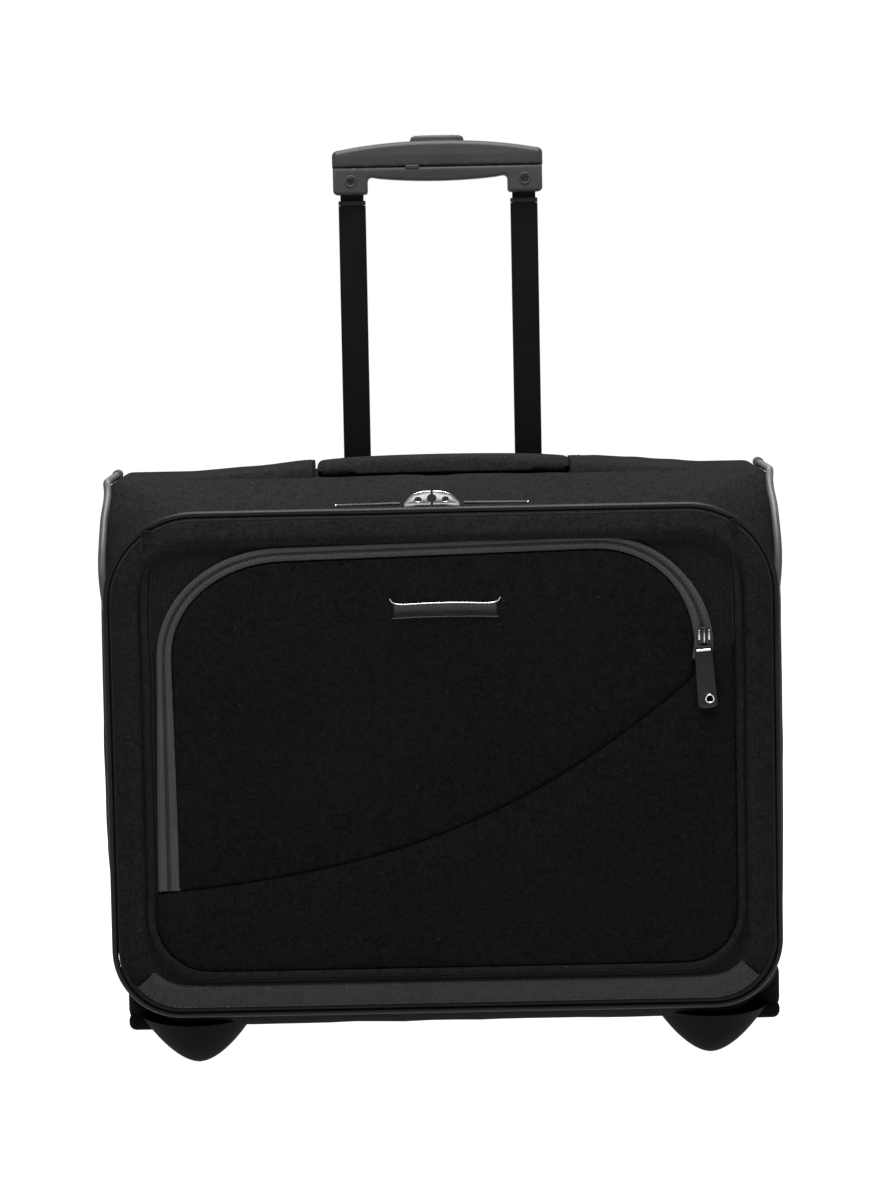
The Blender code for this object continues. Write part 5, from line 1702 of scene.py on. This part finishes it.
                settle(cover, "case", Dress.GREY_CORD)

    def build(self) -> None:
        """All of the body."""
        self.build_gusset()
        self.build_top()
        self.build_sides()
        self.build_rear()
        self.build_sleeves()
        self.build_piping()
        redress(Dress.HOUSING, "base_tray", "tube_bezel", "tube_foot")


@dataclass
class CarryHandle:
    """The padded handle that lies between its two sleeves."""

    voxel: float = 0.0040

    def build(self) -> None:
        """A flattened bar, filled out by a cloth run, with a sewn cord along each long edge."""
        low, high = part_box("carry_handle")
        half = (high[0] - low[0]) / 2 + 0.0052
        y, z = (low[1] + high[1]) / 2, (low[2] + high[2]) / 2
        wide, tall = (high[1] - low[1]) / 2 - 0.0022, (high[2] - low[2]) / 2 - 0.0016
        rings = []
        for s in np.linspace(-1, 1, 41):
            pinch = 1 - 0.10 * abs(s) ** 6
            lift = 0.0016 * (1 - s * s) - 0.0010
            ring = []
            for turn in np.linspace(0, TURN, 28, endpoint=False):
                c, sn = math.cos(turn), math.sin(turn)
                across = wide * pinch * math.copysign(abs(c) ** 0.60, c)
                up = tall * pinch * math.copysign(abs(sn) ** 0.75, sn)
                lean = 0.0035 * (1 - up / (tall * pinch)) * (across < 0)
                ring.append((half * 0.985 * s, y + across - lean, z + lift + up))
            rings.append(ring)
        grid = np.array(rings)
        count, sides = grid.shape[:2]
        index = np.arange(count * sides).reshape(count, sides)
        faces = [
            (int(index[i, j]), int(index[i + 1, j]), int(index[i + 1, (j + 1) % sides]),
             int(index[i, (j + 1) % sides]))
            for i in range(count - 1)
            for j in range(sides)
        ]
        faces += [tuple(int(v) for v in index[0]), tuple(int(v) for v in index[-1][::-1])]
        data = bpy.data.meshes.new("carry_pad")
        data.from_pydata(grid.reshape(-1, 3).tolist(), [], faces)
        # The pad and its cords wear the lighter handle cloth, which paints light on their shaded front.
        pad = Stuffing(cap=0.0012).pad(finished("carry_pad", data, Dress.HANDLE_PAINTED_LIGHT), self.voxel, Dress.HANDLE_PAINTED_LIGHT)
        settle(pad, "carry_handle", Dress.HANDLE_PAINTED_LIGHT, ["carry_handle"])
        for sign, name in ((-1, "front"), (1, "rear")):
            s = np.linspace(-0.96, 0.96, 60)
            line = np.column_stack([half * s, np.full(60, y + sign * (wide + 0.0008)),
                                    z + 0.0016 * (1 - s * s) - 0.001])
            painted_shadow = strand(f"carry_seam_{name}", line, Dress.HANDLE_PAINTED_LIGHT, 0.0012, sides=8)
            settle(painted_shadow, "carry_handle", Dress.HANDLE_PAINTED_LIGHT)


# ---------------------------------------------------------------- pull handle and wheels


@dataclass
class PullHandle:
    """The telescopic tubes' dress, and the grip with its release button."""

    tube_x: float = 0.0605
    block: float = 0.0245

    def build_grip(self) -> None:
        """The two grip shells: end blocks over the tubes, and an arched top with a window for the button."""
        low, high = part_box("grip_lower_shell")
        half, bottom, painted_shadow = high[0], low[2], high[2]
        front, back = low[1], high[1]
        inner = half - self.block
        under, bow = 0.6038, 0.0030
        right = [(half - 0.0004, painted_shadow), (half - 0.0004, bottom + 0.0035)]
        right += arc((half - 0.0034, bottom + 0.0030), (0.0030, 0.0030), 0, -90, 6)
        right += arc((inner + 0.0020, bottom + 0.0020), (0.0020, 0.0020), -90, -180, 5)
        right += arc((inner - 0.0030, under - 0.0030), (0.0030, 0.0030), 0, 80, 5)
        reach = inner - 0.0035
        right += [(reach - reach * k / 12,
                   under - bow * math.sin(math.pi / 2 * k / 12) ** 0.7) for k in range(13)]
        outline = right + [(-x, z) for x, z in reversed(right[:-1])]
        lower = cut_plate("grip_lower", [outline], (front, back), Dress.SATIN, 0.0022)
        tools = []
        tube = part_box("inner_tube_right")
        wide = (tube[1][0] - tube[0][0]) / 2 + GAP
        for side, name in SIDES:
            x = side * self.tube_x
            tools.append(rounded_block(f"socket_{name}", (x - wide, tube[0][1] - GAP, bottom - 0.01),
                                       (x + wide, tube[1][1] + GAP, painted_shadow + 0.01), Dress.SATIN, 0.0015))
        channel = rounded_block("channel", (-0.0590, 0.0790, 0.6048), (0.0590, 0.0927, 0.62), Dress.SATIN,
                                0.0005)
        lower = carve(lower, [*tools, channel], "DIFFERENCE", Dress.SATIN)
        settle(lower, "inner_stage", Dress.SATIN, ["grip_lower_shell"])

        low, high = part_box("grip_upper_shell")
        end, top = 0.6222, high[2]
        turn = 0.0042
        crown = [(s, end + (top - end) * (1 - abs(s / half) ** 2.2)) for s in np.linspace(half - turn, 0, 20)]
        side = [(half, low[2]), *arc((half - turn, crown[0][1] - turn), (turn, turn), 0, 78, 7), *crown]
        outline = side + [(-x, z) for x, z in reversed(side[:-1])]
        upper = cut_plate("grip_upper", [outline], (front, back), Dress.SATIN, 0.0034)
        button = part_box("release_button")
        window = rounded_block("window", (button[0][0] - GAP, button[0][1] - GAP, 0.60),
                               (button[1][0] + GAP, button[1][1] + GAP, 0.64), Dress.SATIN, 0.0008)
        upper = carve(upper, [window], "DIFFERENCE", Dress.SATIN)
        settle(upper, "inner_stage", Dress.SATIN, ["grip_upper_shell"])
        nub = rounded_block("grip_seam_nub", (-0.0225, front - 0.0004, 0.6094),
                            (-0.0130, front + 0.002, 0.6122),
                            Dress.SATIN, 0.0006)
        settle(nub, "inner_stage", Dress.SATIN)

    def build_screws(self) -> None:
        """Domed screws with a cross recess, in the end blocks."""
        for _, name in SIDES:
            low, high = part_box(f"grip_screw_{name}")
            x, z = (low[0] + high[0]) / 2, (low[2] + high[2]) / 2
            radius = (high[0] - low[0]) / 2
            disc = arc((x, z), (radius, radius), 0, 350, 35)
            head = cut_plate(f"grip_screw_head_{name}", [disc], (low[1] - 0.0003, high[1] - 0.0001),
                             Dress.DARK_STEEL,
                             0.0003)
            bars = []
            for wide, tall in ((0.0016, 0.0004), (0.0004, 0.0016)):
                bars.append(rounded_block(f"recess_{wide}", (x - wide, low[1] - 0.001, z - tall),
                                          (x + wide, low[1] + 0.0002, z + tall), Dress.DARK_STEEL, 0.0001, 1))
            head = carve(head, bars, "DIFFERENCE", Dress.DARK_STEEL)
            settle(head, "inner_stage", Dress.DARK_STEEL, [f"grip_screw_{name}"])
            rim = np.array([(a, low[1] + 0.0001, b) for a,
                            b in arc((x, z), (radius + 0.0006,) * 2, 0, 355, 47)])
            seat = strand(f"grip_screw_seat_{name}", rim, Dress.SATIN, 0.0007, closed=True, sides=8)
            settle(seat, "inner_stage", Dress.SATIN)

    def build(self) -> None:
        """All of the handle."""
        self.build_grip()
        self.build_screws()
        tubes = [f"{stage}_tube_{name}" for stage in ("outer", "middle", "inner") for _, name in SIDES]
        redress(Dress.TUBE, *tubes)
        redress(Dress.TAG, "stage_cap_left", "stage_cap_right")
        redress(Dress.STEEL, "release_bar", "button_spring")
        low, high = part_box("release_button")
        wide = (high[0] - low[0]) / 2
        cap = [(wide, high[2] - 0.0145), (wide, high[2] - 0.0030), (wide - 0.0008, high[2] - 0.0010),
               (wide - 0.0032, high[2])]
        cap += [(-x, z) for x, z in reversed(cap)]
        button = cut_plate("push_button", [cap], (low[1], high[1]), Dress.BUTTON, 0.0014)
        settle(button, "release_button", Dress.BUTTON, ["release_button"])
        stem = rounded_block("push_stem", (-0.0040, low[1] + 0.0080, low[2] + GAP),
                             (0.0040, high[1] - 0.0080, high[2] - 0.0142), Dress.BUTTON, 0.0004)
        settle(stem, "release_button", Dress.BUTTON)
        ridges = [np.array([(x, y, high[2]) for x in (-wide * 0.6, wide * 0.6)])
                  for y in np.linspace(low[1] + 0.0035, high[1] - 0.0035, 4)]
        grips = PathRepeat.along("push_button_ridges", ridges, Dress.BUTTON, 0.0016, (0.0003, 0.0005, 0.0009),
                                 facing=(0, 0, 1), wander=0.0)
        settle(grips, "release_button", Dress.BUTTON)


@dataclass
class RunningGear:
    """Wheel housings with their rounded skids, tyres, hubs and axles."""

    flange_top: float = 0.0357
    skid: tuple[float, float, float] = (0.0400, 0.0560, 0.0354)
    skid_y: float = -0.0330
    wheel_front: float = 0.0360
    inner_x: float = 0.1500
    well: tuple[float, float] = (0.0335, 0.0145)

    def ball(self, name: str, radii: Sequence[float], centre: Sequence[float]) -> bpy.types.Object:
        """A blunt cone with a rounded tip, for joining to the flange."""
        bm = bmesh.new()
        bmesh.ops.create_uvsphere(bm, u_segments=64, v_segments=32, radius=1.0)
        for vert in bm.verts:
            taper = (1.0001 - max(0.0, -vert.co.z)) ** 0.08 / (1 + max(0.0, -vert.co.z)) ** 0.5
            shape = (vert.co.x * taper, vert.co.y * taper, vert.co.z)
            vert.co = Vector(a * r + c for a, r, c in zip(shape, radii, centre))
        data = bpy.data.meshes.new(name)
        bm.to_mesh(data)
        bm.free()
        return finished(name, data, Dress.HOUSING)

    def build_housing(self, side: int, name: str) -> None:
        """One moulded corner, joined from its box, flange and skid, and cut for the wheel."""
        low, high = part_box(f"wheel_housing_{name}")
        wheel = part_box(f"tyre_{name}")
        x = (wheel[0][0] + wheel[1][0]) / 2
        y, z = (wheel[0][1] + wheel[1][1]) / 2, (wheel[0][2] + wheel[1][2]) / 2
        outer = max(abs(low[0]), abs(high[0]))

        def across(a: float, b: float) -> tuple[float, float]:
            """Two distances from the middle as low and high X on this side."""
            return (a, b) if side > 0 else (-b, -a)

        x0, x1 = across(self.inner_x, outer)
        box = rounded_block(f"housing_{name}", (x0, self.wheel_front, 0.0200), (x1, high[1], high[2]),
                            Dress.HOUSING,
                            0.0060, 5)
        x0, x1 = across(self.inner_x, outer - 0.0005)
        flange = rounded_block(f"flange_{name}", (x0, -0.0450, 0.0240),
                               (x1, self.wheel_front + 0.012, self.flange_top),
                               Dress.HOUSING, 0.0050, 4)
        bowl = self.ball(f"bowl_{name}", self.skid, (x, self.skid_y, self.flange_top))
        keep = rounded_block(f"keep_{name}", (-0.3, -0.1, -0.01), (0.3, 0.1, self.flange_top), Dress.HOUSING,
                             0.0001, 1)
        bowl = carve(bowl, [keep], "INTERSECT", Dress.HOUSING)
        x0, x1 = across(0.1930, outer)
        guard = rounded_block(f"guard_{name}", (x0, -0.0430, 0.0270), (x1, 0.0480, 0.0640), Dress.HOUSING,
                              0.0100, 5)
        made = carve(box, [flange, bowl, guard], "UNION", Dress.HOUSING)
        radius, half = self.well
        drum = lathe(f"drum_{name}", [(0.0005, -half), (radius, -half), (radius, half), (0.0005, half)],
                     (x, y, z),
                     Dress.HOUSING)
        x0, x1 = across(abs(x) + half + 0.003, outer - 0.003)
        pocket = rounded_block(f"pocket_{name}", (x0, self.wheel_front + 0.004, 0.0400),
                               (x1, high[1] - 0.004, high[2] + 0.01), Dress.HOUSING, 0.0010)
        made = carve(made, [drum, pocket], "DIFFERENCE", Dress.HOUSING)
        made.name = f"wheel_corner_{name}"
        settle(made, "case", Dress.HOUSING, [f"wheel_housing_{name}"])

    def build_wheel(self, side: int, name: str) -> None:
        """A grooved tyre on a spoked hub."""
        low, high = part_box(f"tyre_{name}")
        centre = [(a + b) / 2 for a, b in zip(low, high)]
        half, radius = (high[0] - low[0]) / 2, (high[2] - low[2]) / 2
        rim = (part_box(f"wheel_hub_{name}")[1][2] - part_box(f"wheel_hub_{name}")[0][2]) / 2
        profile = [(rim + GAP, -half + 0.002), (rim + 0.003, -half + 0.0004), (radius - 0.0032, -half)]
        profile += [(radius - 0.0010, -half + 0.0014), (radius - 0.0001, -half + 0.0036)]
        for groove in (-0.0040, 0.0, 0.0040):
            profile += [(radius, groove - 0.0008), (radius - 0.0011, groove - 0.0005)]
            profile += [(radius - 0.0011, groove + 0.0005), (radius, groove + 0.0008)]
        profile += [(r, -a) for r, a in reversed(profile[:5])]
        tyre = lathe(f"tyre_tread_{name}", profile, centre, Dress.TYRE, 72)
        settle(tyre, f"wheel_{name}", Dress.TYRE, [f"tyre_{name}"])
        spokes = []
        for turn in np.linspace(0, TURN, 6, endpoint=False):
            ends = [(0.0112, turn), (rim - 0.0038, turn)]
            for face in (-0.0046, 0.0046):
                spokes.append(np.array([(centre[0] + face, centre[1] + r * math.sin(t),
                                         centre[2] + r * math.cos(t))
                                        for r, t in ends]))
        ribs = PathRepeat.along(f"hub_ribs_{name}", spokes, Dress.SATIN, 0.0012, (0.0016, 0.0011, 0.0012),
                                facing=(1, 0, 0), wander=0.0)
        settle(ribs, f"wheel_{name}", Dress.SATIN)

    def build(self) -> None:
        """Both corners."""
        for side, name in SIDES:
            self.build_housing(side, name)
            self.build_wheel(side, name)
            redress(Dress.SATIN, f"wheel_hub_{name}")
            redress(Dress.STEEL, f"wheel_bush_{name}", f"axle_{name}")


# ---------------------------------------------------------------- inside


@dataclass
class Interior:
    """What shows when the lid is down: lined boards, the padded divider and its strap."""

    def padded_board(self, node: str, name: str, crown: float) -> None:
        """A lined, padded board in place of a CAD one.

        Args:
            node: the CAD node.
            name: the piece's name.
            crown: how much its middle stands out towards the front.
        """
        low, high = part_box(node)
        grid = columns(lambda x: np.full(x.shape, low[2]), lambda x: np.full(x.shape, high[2]), low[0],
                       high[0], 70, 50)
        away = edge_distance(grid)
        middle = (low[1] + high[1]) / 2
        thick = (high[1] - low[1]) / 2
        height = rolled(away, thick - 0.0001, 0.004)
        puff = crown * smooth(0.0, 0.05, away) + 0.0004 * smooth(0, 0.01, away) * ripple(
            grid[..., 0], grid[..., 1], 0.07, len(name))
        quilt = np.exp(-((np.mod(grid[..., 0] + 0.0325, 0.065) - 0.0325) / 0.0022) ** 2)
        front = facing_front(grid, middle - height - puff * (1 - 0.8 * quilt))
        back = facing_front(grid, middle + height)
        settle(slab(name, front, back, Dress.LINING), "case", Dress.LINING, [node])

    def build(self) -> None:
        """All of the inside."""
        self.padded_board("back_board", "lined_back_board", 0.0016)
        self.padded_board("laptop_divider", "padded_divider", 0.0022)
        low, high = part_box("divider_strap")
        rows = []
        for x in np.linspace(low[0], high[0], 9):
            y = np.linspace(low[1], high[1], 16)
            lift = 0.0006 * np.sin(math.pi * (y - low[1]) / (high[1] - low[1]))
            rows.append(np.column_stack([np.full(16, x), y, high[2] + lift]))
        outer = np.array(rows)
        strap = slab("divider_webbing", outer, outer - np.array((0, 0, high[2] - low[2])), Dress.WEBBING)
        settle(strap, "case", Dress.WEBBING, ["divider_strap"])
        redress(Dress.BOARD, "base_board")


# ---------------------------------------------------------------- studio


@dataclass
class Studio:
    """A pale floor, soft light and the camera."""

    distance: float = 2.50
    height: float = 0.5525
    lens: float = 156.4
    pitch: float = 5.28
    roll: float = 1.15
    aside: float = -0.0070

    def build_camera(self) -> None:
        """The camera, a little above the case and looking slightly down at its front."""
        data = bpy.data.cameras.new("studio_camera")
        data.lens = self.lens
        data.sensor_fit = "HORIZONTAL"
        data.sensor_width = 36.0
        data.clip_end = 60.0
        camera = bpy.data.objects.new("studio_camera", data)
        bpy.context.scene.collection.objects.link(camera)
        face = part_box("lid_panel")[0][1]
        camera.location = (self.aside, face - self.distance, self.height)
        look = Vector((0, math.cos(math.radians(self.pitch)), -math.sin(math.radians(self.pitch))))
        camera.rotation_mode = "QUATERNION"
        camera.rotation_quaternion = look.to_track_quat("-Z", "Y")
        camera.rotation_quaternion.rotate(Quaternion(look, math.radians(self.roll)))
        bpy.context.scene.camera = camera

    def build_floor(self) -> None:
        """A wide pale floor."""
        data = bpy.data.meshes.new("studio_floor")
        reach = 30.0
        data.from_pydata([(-reach, -reach, 0), (reach, -reach, 0), (reach, reach, 0), (-reach, reach, 0)], [],
                         [(0, 1, 2, 3)])
        floor = bpy.data.objects.new("studio_floor", data)
        bpy.context.scene.collection.objects.link(floor)
        canvas = Canvas("studio_floor_paint")
        canvas.set(Base_Color=(0.35, 0.35, 0.35), Roughness=0.9, Specular_IOR_Level=0.0)
        canvas.set(Emission_Color=(1.0, 1.0, 1.0), Emission_Strength=1.0)
        data.materials.append(canvas.material)

    def lamp(self, name: str, place: Sequence[float], size: float, power: float) -> None:
        """A square soft lamp that points at the case."""
        data = bpy.data.lights.new(name, "AREA")
        data.size = size
        data.energy = power
        made = bpy.data.objects.new(name, data)
        bpy.context.scene.collection.objects.link(made)
        made.location = place
        aim = Vector((0, 0, 0.25)) - Vector(place)
        made.rotation_euler = aim.to_track_quat("-Z", "Y").to_euler()

    def build(self) -> None:
        """Camera, floor, lamps and the surrounding light."""
        self.build_camera()
        self.build_floor()
        self.lamp("overhead_lamp", (0.0, -0.30, 1.50), 1.0, 50.0)
        self.lamp("rear_lamp", (0.0, 1.4, 1.6), 1.2, 14.0)
        world = bpy.data.worlds.new("studio_air")
        bpy.context.scene.world = world
        world.use_nodes = True
        back = world.node_tree.nodes["Background"]
        back.inputs["Color"].default_value = (1.0, 1.0, 1.0, 1.0)
        back.inputs["Strength"].default_value = 0.16
        seen = world.node_tree.nodes.new("ShaderNodeLightPath")
        share = world.node_tree.nodes.new("ShaderNodeMapRange")
        share.inputs["To Min"].default_value = 0.16
        share.inputs["To Max"].default_value = 1.0
        world.node_tree.links.new(seen.outputs["Is Camera Ray"], share.inputs["Value"])
        world.node_tree.links.new(share.outputs[0], back.inputs["Strength"])
        bpy.context.scene.view_settings.view_transform = "Standard"
        bpy.context.scene.view_settings.look = "None"


def main() -> None:
    """Builds and dresses the case."""
    logging.basicConfig(level=logging.INFO, format="%(name)s: %(message)s")
    for part in (Studio(), Body(), Lid(), FrontPocket(), MainZip(), CarryHandle(), PullHandle(),
                 RunningGear(),
                 Interior()):
        LOG.info("building %s", type(part).__name__)
        part.build()


if __name__ == "__main__":
    main()
